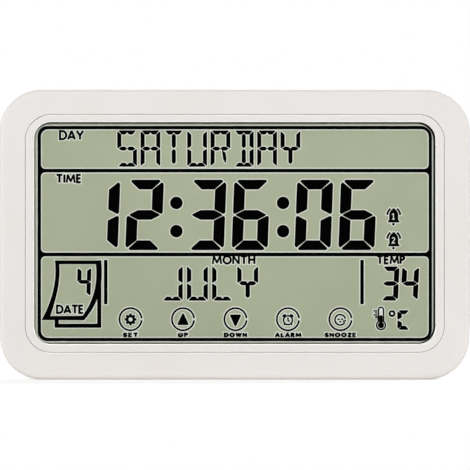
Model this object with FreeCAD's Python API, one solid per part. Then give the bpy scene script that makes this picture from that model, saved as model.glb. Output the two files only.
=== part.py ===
"""A day clock: a white two-part case round a large reflective display, with touch keys under its
window, a fold-out stand and a battery bay in its back.

Millimetres.  X runs to the right as seen from the front, the front faces -Y and Z is up.  The origin
is under the middle of the case, on the surface that it stands on.
"""
import math
import os

import FreeCAD
import Part

V = FreeCAD.Vector

# ---- fits ----------------------------------------------------------------------------------------
SLIP = 0.3            # gap between a moving piece and what it lies beside
SNUG = 0.2            # gap round a piece that drops into its seat
PIN_PLAY = 0.06       # radial play of a hinge pin
SHANK_PLAY = 0.05     # radial play between a screw and its pilot hole

# ---- window and the layers behind it, front to back ----------------------------------------------
WINDOW_W = 191.0
WINDOW_H = 105.6
WINDOW_R = 8.1
WINDOW_EDGE = 0.5     # chamfer round the window
FRONT_WALL = 2.2
GASKET_T = 0.5
GASKET_SHOW_LEFT = -0.2    # how far the gasket shows inside each edge of the window
GASKET_SHOW_RIGHT = 0.9
GASKET_SHOW_TOP = 0.7
GASKET_SHOW_BOTTOM = 0.3
LENS_T = 1.2
LENS_LAP = 2.5        # how far the lens reaches behind the wall
LENS_R = 3.0
FILM_T = 0.2
PAD_T = 0.1
AIR_GAP = 0.3         # from the touch film to the display
POLARISER_T = 0.2
GLASS_T = 0.7
GLASS_LAP = 3.0       # how far the display's glass reaches behind the wall
CONTACT_LEDGE = 3.0   # bare strip of the front glass that carries the display's contacts
REFLECTOR_T = 0.2
FRAME_T = 1.6         # plate of the display's frame
RIM_T = 1.2           # rim of that frame, round the glass

# ---- case ----------------------------------------------------------------------------------------
WALL = 2.2
CORNER_R = 20.2
FRONT_ROUND = 2.5
REAR_ROUND = 4.0
FRONT_HALF_D = 16.0   # depth of the front half
TONGUE_T = 1.0
TONGUE_H = 2.5
TONGUE_PLAY = 0.15
SEAM = 0.3            # fine open joint between the two halves, outside their meeting faces
BOSS_R = 3.25         # bosses that take the case screws
BOSS_ROOM = 0.57      # gap on each side of the row of bosses
BEZEL_SIDE = 16.5     # from the window's side to the side of the case
CHIN = 1.62           # how much wider the frame is under the window than above it
GROOVE_W = 0.7
GROOVE_DEPTH = 0.4
GROOVE_SIDE = 4.25    # from the window's edge to the groove
GROOVE_TOP = 3.6
GROOVE_BOTTOM = 4.1
GROOVE_R = 12.4

# ---- touch keys ----------------------------------------------------------------------------------
KEY_COUNT = 5
KEY_PITCH = 25.0
KEY_R = 5.1
KEY_ABOVE_EDGE = 11.7      # height of the keys over the window's lower edge
TAIL_W = 14.0
TAIL_X = 30.0

# ---- circuit board -------------------------------------------------------------------------------
BOARD_W = 150.0
BOARD_H = 49.0
BOARD_T = 1.6
BOARD_SHIFT = 15.0    # the board lies this far to the right of the middle
POST_H = 1.4          # posts that hold the board off the display's frame
POST_R = 2.5
POST_INSET = 5.0
ZEBRA_L = 100.0
ZEBRA_W = 2.0
ZEBRA_EDGE = 1.7      # from the rubber strip to the board's upper edge

DRIVER_R = 7.0        # drop of resin over the display driver
DRIVER_H = 2.0
DRIVER_DOWN = 22.0    # from the board's upper edge to the driver and the crystal
CRYSTAL_R = 1.0
CRYSTAL_L = 6.0
CRYSTAL_LEFT = 22.0   # left of the board's middle
CRYSTAL_LEG = 0.3
TOUCH_CHIP_W = 10.0
TOUCH_CHIP_D = 4.0
TOUCH_CHIP_H = 1.5
TOUCH_CHIP_UP = 12.0  # over the board's lower edge
TOUCH_CHIP_RIGHT = 20.0    # right of the touch film's tail
LEG_PITCH = 1.27
LEG_W = 0.4
LEG_L = 1.0
LEG_COUNT = 8
CAPACITORS = ((33.0, 2.5, 7.0), (26.0, 2.0, 5.5))   # left of the board's middle, radius, height
SENSOR_R = 1.3
SENSOR_H = 8.0
SENSOR_LEG_R = 0.25
SENSOR_TO_END = 6.0   # from the board's right end to the sensor, which lies behind its vents
SOCKET_UP = 3.0       # from the board's lower edge to the end of the tail in its socket
SOCKET_WALL = 2.0

# ---- screws --------------------------------------------------------------------------------------
CASE_SCREW_R = 1.25
CASE_HEAD_R = 2.5
CASE_HEAD_H = 2.0
CASE_SCREW_BITE = 10.0     # length in the boss
CASE_SCREW_X = 45.0   # screws along the upper and lower edge
WELL_DEPTH = 6.0
WELL_FLOOR = 2.0
WELL_WALL = 1.4
SMALL_SCREW_R = 1.0
SMALL_HEAD_R = 1.9
SMALL_HEAD_H = 1.2
SMALL_SCREW_BITE = 2.4
EAR_X = 80.0          # ears that hold the display's frame: one in the middle, one at each side
EAR_W = 8.0
EAR_BOSS_R = 2.5

# ---- cells and their bay -------------------------------------------------------------------------
CELL_D = 14.5
CELL_L = 50.5
CELL_NUB_R = 2.75
CELL_NUB_L = 1.0
CELL_SPACING = 0.7    # between the two cells
CELL_PLAY = 0.55      # between a cell and the bay's upper or lower wall
CELL_BED = 0.2        # between the cells and the bay's floor
CELL_TO_DOOR = 0.5
CONTACT_T = 0.4
CONTACT_SIZE = 11.0
SPRING_L = 6.6
SPRING_WIRE_R = 0.4
SPRING_BASE_R = 4.4
SPRING_TIP_R = 2.2
SPRING_TURNS = 4
SPRING_BITE = 0.25    # how far the wire's middle stays off the plate that it is welded to
TAB_W = 3.0           # solder tab of a contact
TAB_REACH = 4.2       # length of the tab outside the bay
BAY_WALL = 1.4
DOOR_TO_STAND = 7.65  # from the door to the stand's recess
BAY_BOTTOM = 32.6     # height of the bay's inner lower wall
BAY_GAP = 1.8         # from the bay's floor to the display's frame
DOOR_T = 1.8
DOOR_LAP_X = 2.0
DOOR_LAP_Z = 2.6
DOOR_R = 2.0
DOOR_TAB_W = 8.0
DOOR_TAB_X = 20.0     # tabs each side of the door's middle
DOOR_TAB_FOOT = 2.8
DOOR_TAB_T = 1.4
DOOR_TAB_ROOT = 1.2
DOOR_TAB_STEP = 0.7   # from the door's inner face down to the foot of a tab
SEAT_W = 1.2          # ledge round the door's edge
GRIP_COUNT = 3        # shallow grooves in the door, under the latch
GRIP_W = 14.0
GRIP_H = 0.9
GRIP_DEPTH = 0.4
GRIP_PITCH = 2.2
GRIP_DOWN = 3.0       # from the door's upper edge to the first groove
LATCH_W = 10.0
LATCH_T = 1.0
LATCH_REACH = 5.2     # how far the latch's bend lies behind the door
LATCH_BEND_R = 1.5
LATCH_NOSE = 1.6
LATCH_SLOT = 4.0      # height of the finger slot over the door
LATCH_ROOM = 2.2      # free height over the finger slot, for the nose

# ---- stand ---------------------------------------------------------------------------------------
STAND_W = 46.0
STAND_T = 3.0
STAND_SUNK = 0.2      # how far the folded stand lies under the back of the case
STAND_GAP = 0.4       # beside the stand
STAND_SWING = 34.0    # degrees
STAND_AXIS_Z = 86.0
STAND_AXIS_IN = 3.8   # depth of the axis under the back of the case
STAND_HEEL = 1.6      # how far the plate reaches over the axis
STAND_FOOT_Z = 0.8
BARREL_R = 2.2
BARREL_GAP = 0.35
PIN_R = 1.5
PIN_L = 2.0
PIN_HOLE_SPARE = 0.3
STOP_GAP = 0.1        # between the heel and its stop when the stand is fully open
RECESS_WALL = 2.0
NOTCH_R = 6.0         # finger notches beside the stand
NOTCH_Z = 14.0
PAD_L = 30.0
PAD_D = 1.1
PAD_H = 1.65
PAD_PROUD = 0.45

# ---- wall mount, sound and air -------------------------------------------------------------------
KEYHOLE_SPACING = 120.0
KEYHOLE_TO_TOP = 26.0
KEYHOLE_R = 4.0
KEYHOLE_SLOT_W = 4.2
KEYHOLE_RISE = 8.0
KEYHOLE_DEPTH = 4.5
POCKET_WALL = 1.5
SOUNDER_X = 62.0
SOUNDER_Z = 48.0
SOUNDER_R = 13.5
SOUNDER_T = 0.3
CERAMIC_R = 10.0
CERAMIC_T = 0.25
SOUND_CHAMBER = 1.2
SOUNDER_RING_T = 1.4
SOUNDER_LEDGE = 1.5
GRILLE_HOLE_R = 1.0
GRILLE_PITCH = 3.6
GRILLE_RINGS = 2
VENT_Z = 100.0
VENT_COUNT = 4
VENT_W = 12.0
VENT_H = 1.4
VENT_PITCH = 3.0

# ---- wires ---------------------------------------------------------------------------------------
WIRE_R = 0.6
LEAD_RISE = 9.0       # how far over the bay the battery leads turn towards the board
LEAD_DIP = 4.5        # how far in front of the solder tabs they run
BUZZER_DIP = 5.5      # how far the sounder's wires stand off it before they turn up
LEAD_STAND = 4.0      # how far they stand off the board before they turn into it

# ---- worked out from the sizes above -------------------------------------------------------------
LAYERS = (FRONT_WALL + GASKET_T + LENS_T + FILM_T + AIR_GAP + POLARISER_T + 2 * GLASS_T
          + REFLECTOR_T + FRAME_T)
BAY_DEPTH = CELL_BED + CELL_D + CELL_TO_DOOR
CASE_D = LAYERS + BAY_GAP + BAY_WALL + BAY_DEPTH + DOOR_T
FRONT_Y = -CASE_D / 2
REAR_Y = CASE_D / 2
PART_Y = FRONT_Y + FRONT_HALF_D
WALL_Y = FRONT_Y + FRONT_WALL
LENS_Y = WALL_Y + GASKET_T
FILM_Y = LENS_Y + LENS_T
PAD_Y = FILM_Y + FILM_T
POLARISER_Y = PAD_Y + AIR_GAP
FRONT_GLASS_Y = POLARISER_Y + POLARISER_T
REAR_GLASS_Y = FRONT_GLASS_Y + GLASS_T
REFLECTOR_Y = REAR_GLASS_Y + GLASS_T
FRAME_Y = REFLECTOR_Y + REFLECTOR_T
FRAME_BACK_Y = FRAME_Y + FRAME_T
BOARD_Y = FRAME_BACK_Y + POST_H
BOARD_BACK_Y = BOARD_Y + BOARD_T
REAR_WALL_Y = REAR_Y - WALL

RIM_LAP = GLASS_LAP + SNUG + RIM_T
INSIDE = WALL + TONGUE_PLAY + TONGUE_T
BEZEL_TOP = RIM_LAP + BOSS_ROOM + 2 * BOSS_R + BOSS_ROOM + INSIDE
BEZEL_BOTTOM = BEZEL_TOP + CHIN
CASE_W = WINDOW_W + 2 * BEZEL_SIDE
CASE_H = WINDOW_H + BEZEL_TOP + BEZEL_BOTTOM
WINDOW_Z = BEZEL_BOTTOM + WINDOW_H / 2
GLASS_W = WINDOW_W + 2 * GLASS_LAP
GLASS_H = WINDOW_H + 2 * GLASS_LAP
GLASS_TOP = WINDOW_Z + GLASS_H / 2
GLASS_BOTTOM = WINDOW_Z - GLASS_H / 2

BOSS_INSET = INSIDE + BOSS_ROOM + BOSS_R
CORNER_SCREW_X = (CASE_W / 2 - INSIDE + WINDOW_W / 2 + RIM_LAP) / 2
CORNER_SCREW_Z = CORNER_R + BOSS_R + BOSS_ROOM
CASE_SCREWS = [(side * CASE_SCREW_X, z) for side in (-1, 1) for z in (BOSS_INSET, CASE_H - BOSS_INSET)]
CASE_SCREWS += [(side * CORNER_SCREW_X, z) for side in (-1, 1)
                for z in (CORNER_SCREW_Z, CASE_H - CORNER_SCREW_Z)]
WELL_Y = REAR_Y - WELL_DEPTH
BOSS_END_Y = WELL_Y - WELL_FLOOR
WELL_R = CASE_HEAD_R + SLIP
EAR_INSET = INSIDE + BOSS_ROOM / 2 + EAR_BOSS_R
EAR_SPOTS = [(x, z) for x in (-EAR_X, 0.0, EAR_X) for z in (EAR_INSET, CASE_H - EAR_INSET)]

ZEBRA_Z = GLASS_TOP - CONTACT_LEDGE / 2
BOARD_TOP = ZEBRA_Z + ZEBRA_W / 2 + ZEBRA_EDGE
BOARD_BOTTOM = BOARD_TOP - BOARD_H
BOARD_LEFT = BOARD_SHIFT - BOARD_W / 2
BOARD_RIGHT = BOARD_SHIFT + BOARD_W / 2
VENT_X = BOARD_RIGHT - SENSOR_TO_END
POST_SPOTS = [(x, z) for x in (BOARD_LEFT + POST_INSET, BOARD_RIGHT - POST_INSET)
              for z in (BOARD_BOTTOM + POST_INSET, BOARD_TOP - POST_INSET)]
KEY_Z = WINDOW_Z - WINDOW_H / 2 + KEY_ABOVE_EDGE
KEY_X = [KEY_PITCH * (i - (KEY_COUNT - 1) / 2) for i in range(KEY_COUNT)]

CELL_R = CELL_D / 2
DOOR_Y = REAR_Y - DOOR_T
CELL_Y = DOOR_Y - CELL_TO_DOOR - CELL_R
BAY_FLOOR_Y = DOOR_Y - BAY_DEPTH
BAY_L = CELL_L + SPRING_L + 2 * CONTACT_T
BAY_H = 2 * CELL_D + CELL_SPACING + 2 * CELL_PLAY
RECESS_HALF = STAND_W / 2 + STAND_GAP
BAY_RIGHT = -RECESS_HALF - DOOR_TO_STAND - DOOR_LAP_X
BAY_LEFT = BAY_RIGHT - BAY_L
BAY_TOP = BAY_BOTTOM + BAY_H
LOWER_CELL_Z = BAY_BOTTOM + CELL_PLAY + CELL_R
UPPER_CELL_Z = LOWER_CELL_Z + CELL_D + CELL_SPACING
DOOR_LEFT = BAY_LEFT - DOOR_LAP_X
DOOR_RIGHT = BAY_RIGHT + DOOR_LAP_X
DOOR_BOTTOM = BAY_BOTTOM - DOOR_LAP_Z
DOOR_TOP = BAY_TOP + DOOR_LAP_Z
SEAT_Y = DOOR_Y - SLIP
LATCH_X = (BAY_LEFT + BAY_RIGHT) / 2
LATCH_Z = BAY_TOP + DOOR_LAP_Z / 2 - LATCH_T / 2    # underside of the latch's root
WELL_TOP = DOOR_TOP + LATCH_SLOT + LATCH_ROOM

AXIS_Y = REAR_Y - STAND_AXIS_IN
STAND_OUT_Y = REAR_Y - STAND_SUNK
STAND_IN_Y = STAND_OUT_Y - STAND_T
RECESS_Y = STAND_IN_Y - SNUG
HEEL_ANGLE = math.atan2(STAND_HEEL, STAND_OUT_Y - AXIS_Y) + math.radians(STAND_SWING)
HEEL_REACH = math.hypot(STAND_HEEL, STAND_OUT_Y - AXIS_Y)
RECESS_TOP = STAND_AXIS_Z + HEEL_REACH * math.sin(HEEL_ANGLE) + STOP_GAP

KEYHOLE_Z = CASE_H - KEYHOLE_TO_TOP
POCKET_TOP = KEYHOLE_Z + KEYHOLE_RISE + KEYHOLE_R + SNUG
POCKET_BOTTOM = KEYHOLE_Z - KEYHOLE_R - SNUG
POCKET_HALF = KEYHOLE_R + 2.0
SOUNDER_Y = REAR_WALL_Y - SOUND_CHAMBER - SOUNDER_T
CERAMIC_Y = SOUNDER_Y - CERAMIC_T


# ---- shapes that many pieces use -----------------------------------------------------------------
def box(x0, x1, y0, y1, z0, z1):
    """A box between two values on each axis."""
    return Part.makeBox(x1 - x0, y1 - y0, z1 - z0, V(x0, y0, z0))


def rod(x, z, radius, y0, y1):
    """A round bar along Y."""
    return Part.makeCylinder(radius, y1 - y0, V(x, y0, z), V(0, 1, 0))


def bar(y, z, radius, x0, x1):
    """A round bar along X."""
    return Part.makeCylinder(radius, x1 - x0, V(x0, y, z), V(1, 0, 0))


def rounded_wire(width, height, radius, z, y, x=0.0):
    """A rectangle with round corners in the plane at y, its middle at (x, z)."""
    a, b, c = width / 2, height / 2, radius * (1 - math.sqrt(0.5))
    edges = []
    for sx, sz in ((1, 1), (-1, 1), (-1, -1), (1, -1)):
        side = V(x + sx * a, y, z + sz * (b - radius))
        end = V(x + sx * (a - radius), y, z + sz * b)
        start, stop = (side, end) if sx == sz else (end, side)
        edges.append(Part.Arc(start, V(x + sx * (a - c), y, z + sz * (b - c)), stop).toShape())
    runs = [Part.makeLine(edges[i].Vertexes[-1].Point, edges[(i + 1) % 4].Vertexes[0].Point)
            for i in range(4)]
    return Part.Wire([edge for pair in zip(edges, runs) for edge in pair])


def slab(width, height, radius, z, y0, y1, x=0.0):
    """A plate with round corners, from y0 back to y1."""
    return Part.Face(rounded_wire(width, height, radius, z, y0, x)).extrude(V(0, y1 - y0, 0))


def tapered(size0, y0, size1, y1, z):
    """A plug whose rounded outline changes evenly from size0 at y0 to size1 at y1."""
    wires = [rounded_wire(*size, z, y) for size, y in ((size0, y0), (size1, y1))]
    return Part.makeLoft(wires, True, True)


def round_edges_at(shape, y, radius):
    """Rounds every edge that lies in the plane at y."""
    edges = [e for e in shape.Edges if all(abs(v.Y - y) < 1e-6 for v in e.Vertexes)]
    return shape.makeFillet(radius, edges)


def joined(shapes):
    """One solid from several that overlap."""
    first, *rest = shapes
    return first.multiFuse(rest).removeSplitter()


def screw(x, z, y_seat, shank_r, head_r, head_h, length):
    """A screw driven in from the back, with a cross cut in its head."""
    head = rod(x, z, head_r, y_seat, y_seat + head_h)
    head = round_edges_at(head, y_seat + head_h, head_h * 0.3)
    arm, blade, top = head_r * 0.6, head_r * 0.15, y_seat + head_h
    for half_x, half_z in ((arm, blade), (blade, arm)):
        head = head.cut(box(x - half_x, x + half_x, top - head_h / 2, top, z - half_z, z + half_z))
    return head.fuse(rod(x, z, shank_r, y_seat - length, y_seat)).removeSplitter()


def lead(points, radius):
    """A round wire through points: straight runs, joined by tangent arcs as large as they allow."""
    points = [V(*p) for p in points]
    edges, start = [], points[0]
    for before, corner, after in zip(points, points[1:], points[2:]):
        back, on = (before - corner), (after - corner)
        reach = 0.45 * min(back.Length, on.Length)
        back.normalize()
        on.normalize()
        half = (math.pi - back.getAngle(on)) / 2
        bend = reach / math.tan(half)
        middle = back + on
        middle.normalize()
        into = corner + back * reach
        out = corner + on * reach
        top = corner + middle * (bend / math.cos(half) - bend)
        edges += [Part.makeLine(start, into), Part.Arc(into, top, out).toShape()]
        start = out
    edges.append(Part.makeLine(start, points[-1]))
    ring = Part.Wire(Part.makeCircle(radius, points[0], points[1] - points[0]))
    return Part.Wire(edges).makePipeShell([ring], True, False)


# ---- case ----------------------------------------------------------------------------------------
def case_form():
    """The whole outside of the closed case."""
    form = slab(CASE_W, CASE_H, CORNER_R, CASE_H / 2, FRONT_Y, REAR_Y)
    form = round_edges_at(form, FRONT_Y, FRONT_ROUND)
    return round_edges_at(form, REAR_Y, REAR_ROUND)


def inset_slab(inset, y0, y1):
    """The case's outline, drawn in by inset on every side."""
    return slab(CASE_W - 2 * inset, CASE_H - 2 * inset, CORNER_R - inset, CASE_H / 2, y0, y1)


def groove():
    """The fine V-shaped groove round the window, as the shape to cut away."""
    width = WINDOW_W + 2 * GROOVE_SIDE
    height = WINDOW_H + GROOVE_TOP + GROOVE_BOTTOM
    middle = WINDOW_Z + (GROOVE_TOP - GROOVE_BOTTOM) / 2
    floor = (width, height, GROOVE_R)
    y_floor = FRONT_Y + GROOVE_DEPTH
    grow = GROOVE_W
    outer = tapered((width + grow, height + grow, GROOVE_R + grow / 2), FRONT_Y, floor, y_floor, middle)
    inner = tapered((width - grow, height - grow, GROOVE_R - grow / 2), FRONT_Y, floor, y_floor, middle)
    return outer.cut(inner)


def front_case():
    """The front half: wall with window and groove, sides, and the bosses for all screws."""
    shell = case_form().common(inset_slab(0, FRONT_Y, PART_Y))
    shell = shell.cut(inset_slab(WALL, WALL_Y, PART_Y))
    bosses = [rod(x, z, BOSS_R, WALL_Y, BOSS_END_Y) for x, z in CASE_SCREWS]
    bosses += [rod(x, z, EAR_BOSS_R, WALL_Y, FRAME_Y) for x, z in EAR_SPOTS]
    shell = joined([shell] + bosses)
    window = (WINDOW_W, WINDOW_H, WINDOW_R)
    wide = (WINDOW_W + 2 * WINDOW_EDGE, WINDOW_H + 2 * WINDOW_EDGE, WINDOW_R + WINDOW_EDGE)
    holes = [slab(*window, WINDOW_Z, FRONT_Y, WALL_Y), groove(),
             tapered(wide, FRONT_Y, window, FRONT_Y + WINDOW_EDGE, WINDOW_Z)]
    pilot = CASE_SCREW_R + SHANK_PLAY
    deepest = BOSS_END_Y - CASE_SCREW_BITE - 1.0
    holes += [rod(x, z, pilot, deepest, BOSS_END_Y) for x, z in CASE_SCREWS]
    small = SMALL_SCREW_R + SHANK_PLAY
    holes += [rod(x, z, small, FRAME_Y - SMALL_SCREW_BITE - 0.5, FRAME_Y) for x, z in EAR_SPOTS]
    for hole in holes:
        shell = shell.cut(hole)
    return shell


def bay_blocks():
    """The battery bay's walls and the ledge round the door, before the hollows are cut."""
    w = BAY_WALL
    around = SLIP + SEAT_W
    return [
        box(BAY_LEFT - w, BAY_RIGHT + w, BAY_FLOOR_Y - w, REAR_WALL_Y, BAY_BOTTOM - w, BAY_TOP + w),
        box(DOOR_LEFT - around, DOOR_RIGHT + around, SEAT_Y - SEAT_W, REAR_WALL_Y,
            DOOR_BOTTOM - around, DOOR_TOP + around),
        box(LATCH_X - LATCH_W / 2 - 2 * w, LATCH_X + LATCH_W / 2 + 2 * w,
            DOOR_Y - LATCH_REACH - LATCH_BEND_R - 3 * w, REAR_WALL_Y, BAY_TOP, WELL_TOP + w),
    ]


def bay_hollows():
    """Everything that is cut away for the cells, the door, its tabs and its latch."""
    hollows = [
        box(BAY_LEFT, BAY_RIGHT, BAY_FLOOR_Y, REAR_Y, BAY_BOTTOM, BAY_TOP),
        slab(DOOR_RIGHT - DOOR_LEFT + 2 * SLIP, DOOR_TOP - DOOR_BOTTOM + 2 * SLIP, DOOR_R + SLIP,
             (DOOR_TOP + DOOR_BOTTOM) / 2, SEAT_Y, REAR_Y, LATCH_X),
    ]
    foot_y = DOOR_Y - DOOR_TAB_STEP - DOOR_TAB_T
    sweep = math.hypot(REAR_Y - foot_y, DOOR_TAB_FOOT) + SLIP
    for side in (-1, 1):
        x = LATCH_X + side * DOOR_TAB_X
        half = DOOR_TAB_W / 2 + SLIP
        hollows.append(box(x - half, x + half, REAR_Y - sweep, REAR_WALL_Y,
                           DOOR_BOTTOM - DOOR_TAB_FOOT - SLIP, BAY_BOTTOM))
        hollows.append(box(x - half, x + half, REAR_Y - sweep, REAR_Y, DOOR_BOTTOM - SLIP, BAY_BOTTOM))
    for z, y in ((UPPER_CELL_Z, CELL_Y), (LOWER_CELL_Z, CELL_Y)):
        hollows.append(box(BAY_LEFT - BAY_WALL, BAY_LEFT, y - SNUG, y + CONTACT_T + SNUG,
                           z - TAB_W / 2 - SNUG, z + TAB_W / 2 + SNUG))
    half = LATCH_W / 2 + BAY_WALL
    inner_y = DOOR_Y - LATCH_REACH - LATCH_BEND_R - 2 * BAY_WALL
    hollows.append(box(LATCH_X - half, LATCH_X + half, inner_y, REAR_WALL_Y,
                       LATCH_Z - SLIP, WELL_TOP))
    hollows.append(box(LATCH_X - half, LATCH_X + half, inner_y, REAR_Y,
                       LATCH_Z - SLIP, DOOR_TOP + LATCH_SLOT))
    return hollows


def stand_blocks():
    """Walls of the stand's recess, before the hollows are cut."""
    w = RECESS_WALL
    half = RECESS_HALF
    pin_half = half + PIN_L + PIN_HOLE_SPARE + w
    trough = BARREL_R + BARREL_GAP + w
    blocks = [
        box(-half - w, half + w, RECESS_Y - w, REAR_WALL_Y, 0, RECESS_TOP + w),
        box(-pin_half, pin_half, AXIS_Y - trough, REAR_WALL_Y, STAND_AXIS_Z - trough, RECESS_TOP + w),
    ]
    blocks += [rod(side * half, NOTCH_Z, NOTCH_R + w, RECESS_Y - w, REAR_WALL_Y) for side in (-1, 1)]
    return blocks


def stand_hollows():
    """Recess, barrel trough, pin holes and finger notches."""
    hollows = [
        box(-RECESS_HALF, RECESS_HALF, RECESS_Y, REAR_Y, 0, RECESS_TOP),
        bar(AXIS_Y, STAND_AXIS_Z, BARREL_R + BARREL_GAP, -RECESS_HALF, RECESS_HALF),
        bar(AXIS_Y, STAND_AXIS_Z, PIN_R + PIN_PLAY, -RECESS_HALF - PIN_L - PIN_HOLE_SPARE,
            RECESS_HALF + PIN_L + PIN_HOLE_SPARE),
    ]
    hollows += [rod(side * RECESS_HALF, NOTCH_Z, NOTCH_R, RECESS_Y, REAR_Y) for side in (-1, 1)]
    return hollows


def keyhole(x):
    """One keyhole: the pocket for a screw's head, its round entry and the slot above it."""
    pocket = box(x - POCKET_HALF, x + POCKET_HALF, REAR_WALL_Y - KEYHOLE_DEPTH, REAR_WALL_Y,
                 POCKET_BOTTOM, POCKET_TOP)
    entry = rod(x, KEYHOLE_Z, KEYHOLE_R, REAR_WALL_Y, REAR_Y)
    end_z = KEYHOLE_Z + KEYHOLE_RISE
    half = KEYHOLE_SLOT_W / 2
    slot = box(x - half, x + half, REAR_WALL_Y, REAR_Y, KEYHOLE_Z, end_z)
    return [pocket, entry, slot, rod(x, end_z, half, REAR_WALL_Y, REAR_Y)]


def grille():
    """Holes of the sounder's grille: one in the middle and rings of six, twelve and so on."""
    spots = [(SOUNDER_X, SOUNDER_Z)]
    for ring in range(1, GRILLE_RINGS + 1):
        for i in range(6 * ring):
            turn = 2 * math.pi * i / (6 * ring)
            reach = GRILLE_PITCH * ring
            spots.append((SOUNDER_X + reach * math.cos(turn), SOUNDER_Z + reach * math.sin(turn)))
    return [rod(x, z, GRILLE_HOLE_R, REAR_WALL_Y, REAR_Y) for x, z in spots]


def rear_case():
    """The rear half: tongue, screw wells, battery bay, stand recess, keyholes, grille and vents."""
    shell = case_form().common(inset_slab(0, PART_Y + SEAM, REAR_Y))
    shell = shell.cut(inset_slab(WALL, PART_Y + SEAM, REAR_WALL_Y))
    play = WALL + TONGUE_PLAY
    tongue = inset_slab(play, PART_Y - TONGUE_H, PART_Y + TONGUE_H)
    tongue = tongue.cut(inset_slab(INSIDE, PART_Y - TONGUE_H, PART_Y + TONGUE_H))
    foot = inset_slab(WALL / 2, PART_Y, PART_Y + TONGUE_H)
    foot = foot.cut(inset_slab(INSIDE, PART_Y, PART_Y + TONGUE_H))
    ring_r = SOUNDER_R + SNUG + SOUNDER_RING_T
    blocks = [tongue, foot, rod(SOUNDER_X, SOUNDER_Z, ring_r, CERAMIC_Y - SOUND_CHAMBER, REAR_WALL_Y)]
    blocks += [rod(x, z, WELL_R + WELL_WALL, BOSS_END_Y, REAR_WALL_Y) for x, z in CASE_SCREWS]
    inside = inset_slab(WALL / 2, FRONT_Y, REAR_Y)
    blocks += [block.common(inside) for block in bay_blocks() + stand_blocks()]
    for side in (-1, 1):
        x = side * KEYHOLE_SPACING / 2
        half = POCKET_HALF + POCKET_WALL
        blocks.append(box(x - half, x + half, REAR_WALL_Y - KEYHOLE_DEPTH - POCKET_WALL, REAR_WALL_Y,
                          POCKET_BOTTOM - POCKET_WALL, POCKET_TOP + POCKET_WALL))
    shell = joined([shell] + blocks)
    hollows = bay_hollows() + stand_hollows() + grille()
    hollows += keyhole(-KEYHOLE_SPACING / 2) + keyhole(KEYHOLE_SPACING / 2)
    hollows.append(rod(SOUNDER_X, SOUNDER_Z, SOUNDER_R + SNUG, CERAMIC_Y - SOUND_CHAMBER,
                       SOUNDER_Y + SOUNDER_T))
    hollows.append(rod(SOUNDER_X, SOUNDER_Z, SOUNDER_R - SOUNDER_LEDGE, SOUNDER_Y, REAR_WALL_Y))
    for x, z in CASE_SCREWS:
        hollows.append(rod(x, z, WELL_R, WELL_Y, REAR_Y))
        hollows.append(rod(x, z, CASE_SCREW_R + SHANK_PLAY, BOSS_END_Y, WELL_Y))
    for i in range(VENT_COUNT):
        z = VENT_Z + VENT_PITCH * (i - (VENT_COUNT - 1) / 2)
        hollows.append(slab(VENT_W, VENT_H, VENT_H * 0.45, z, REAR_WALL_Y, REAR_Y, VENT_X))
    for hollow in hollows:
        shell = shell.cut(hollow)
    return shell


# ---- window and display --------------------------------------------------------------------------
def lens_outline(y0, y1):
    """A layer of the lens's size."""
    return slab(WINDOW_W + 2 * LENS_LAP, WINDOW_H + 2 * LENS_LAP, LENS_R, WINDOW_Z, y0, y1)


def lens_gasket():
    """Foam frame that seals the lens to the wall; its opening lies a little off the window's middle."""
    left = -WINDOW_W / 2 + GASKET_SHOW_LEFT
    right = WINDOW_W / 2 - GASKET_SHOW_RIGHT
    bottom = WINDOW_Z - WINDOW_H / 2 + GASKET_SHOW_BOTTOM
    top = WINDOW_Z + WINDOW_H / 2 - GASKET_SHOW_TOP
    opening = slab(right - left, top - bottom, WINDOW_R, (top + bottom) / 2, WALL_Y, LENS_Y,
                   (left + right) / 2)
    return lens_outline(WALL_Y, LENS_Y).cut(opening)


def tail_height():
    """Height of the touch film's fold, in the notch under the display's glass."""
    return GLASS_BOTTOM - SNUG - RIM_T / 2


def touch_film():
    """The film behind the lens, with its tail folded under the glass and up to the board."""
    low = tail_height()
    x0, x1 = TAIL_X - TAIL_W / 2, TAIL_X + TAIL_W / 2
    back = FRAME_BACK_Y + SNUG
    sheet = lens_outline(FILM_Y, PAD_Y)
    down = box(x0, x1, FILM_Y, PAD_Y, low, GLASS_BOTTOM + LENS_LAP)
    under = box(x0, x1, FILM_Y, back + FILM_T, low, low + FILM_T)
    up = box(x0, x1, back, back + FILM_T, low, BOARD_BOTTOM + SOCKET_UP)
    return joined([sheet, down, under, up])


def touch_pads():
    """Clear electrodes on the film, one behind each key."""
    pads = [rod(x, KEY_Z, KEY_R, PAD_Y, PAD_Y + PAD_T) for x in KEY_X]
    return Part.makeCompound(pads)


def glass_layer(y0, y1, short):
    """A layer of the display; short is how far its upper edge stays under the front glass."""
    return slab(GLASS_W, GLASS_H - short, 0.5, WINDOW_Z - short / 2, y0, y1)


def ear(x, z):
    """An ear of the display's frame, from the plate's edge out over its boss."""
    edge = GLASS_TOP if z > WINDOW_Z else GLASS_BOTTOM
    low, high = sorted((edge, z + math.copysign(EAR_BOSS_R, z - WINDOW_Z)))
    return box(x - EAR_W / 2, x + EAR_W / 2, FRAME_Y, FRAME_BACK_Y, low, high)


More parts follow.
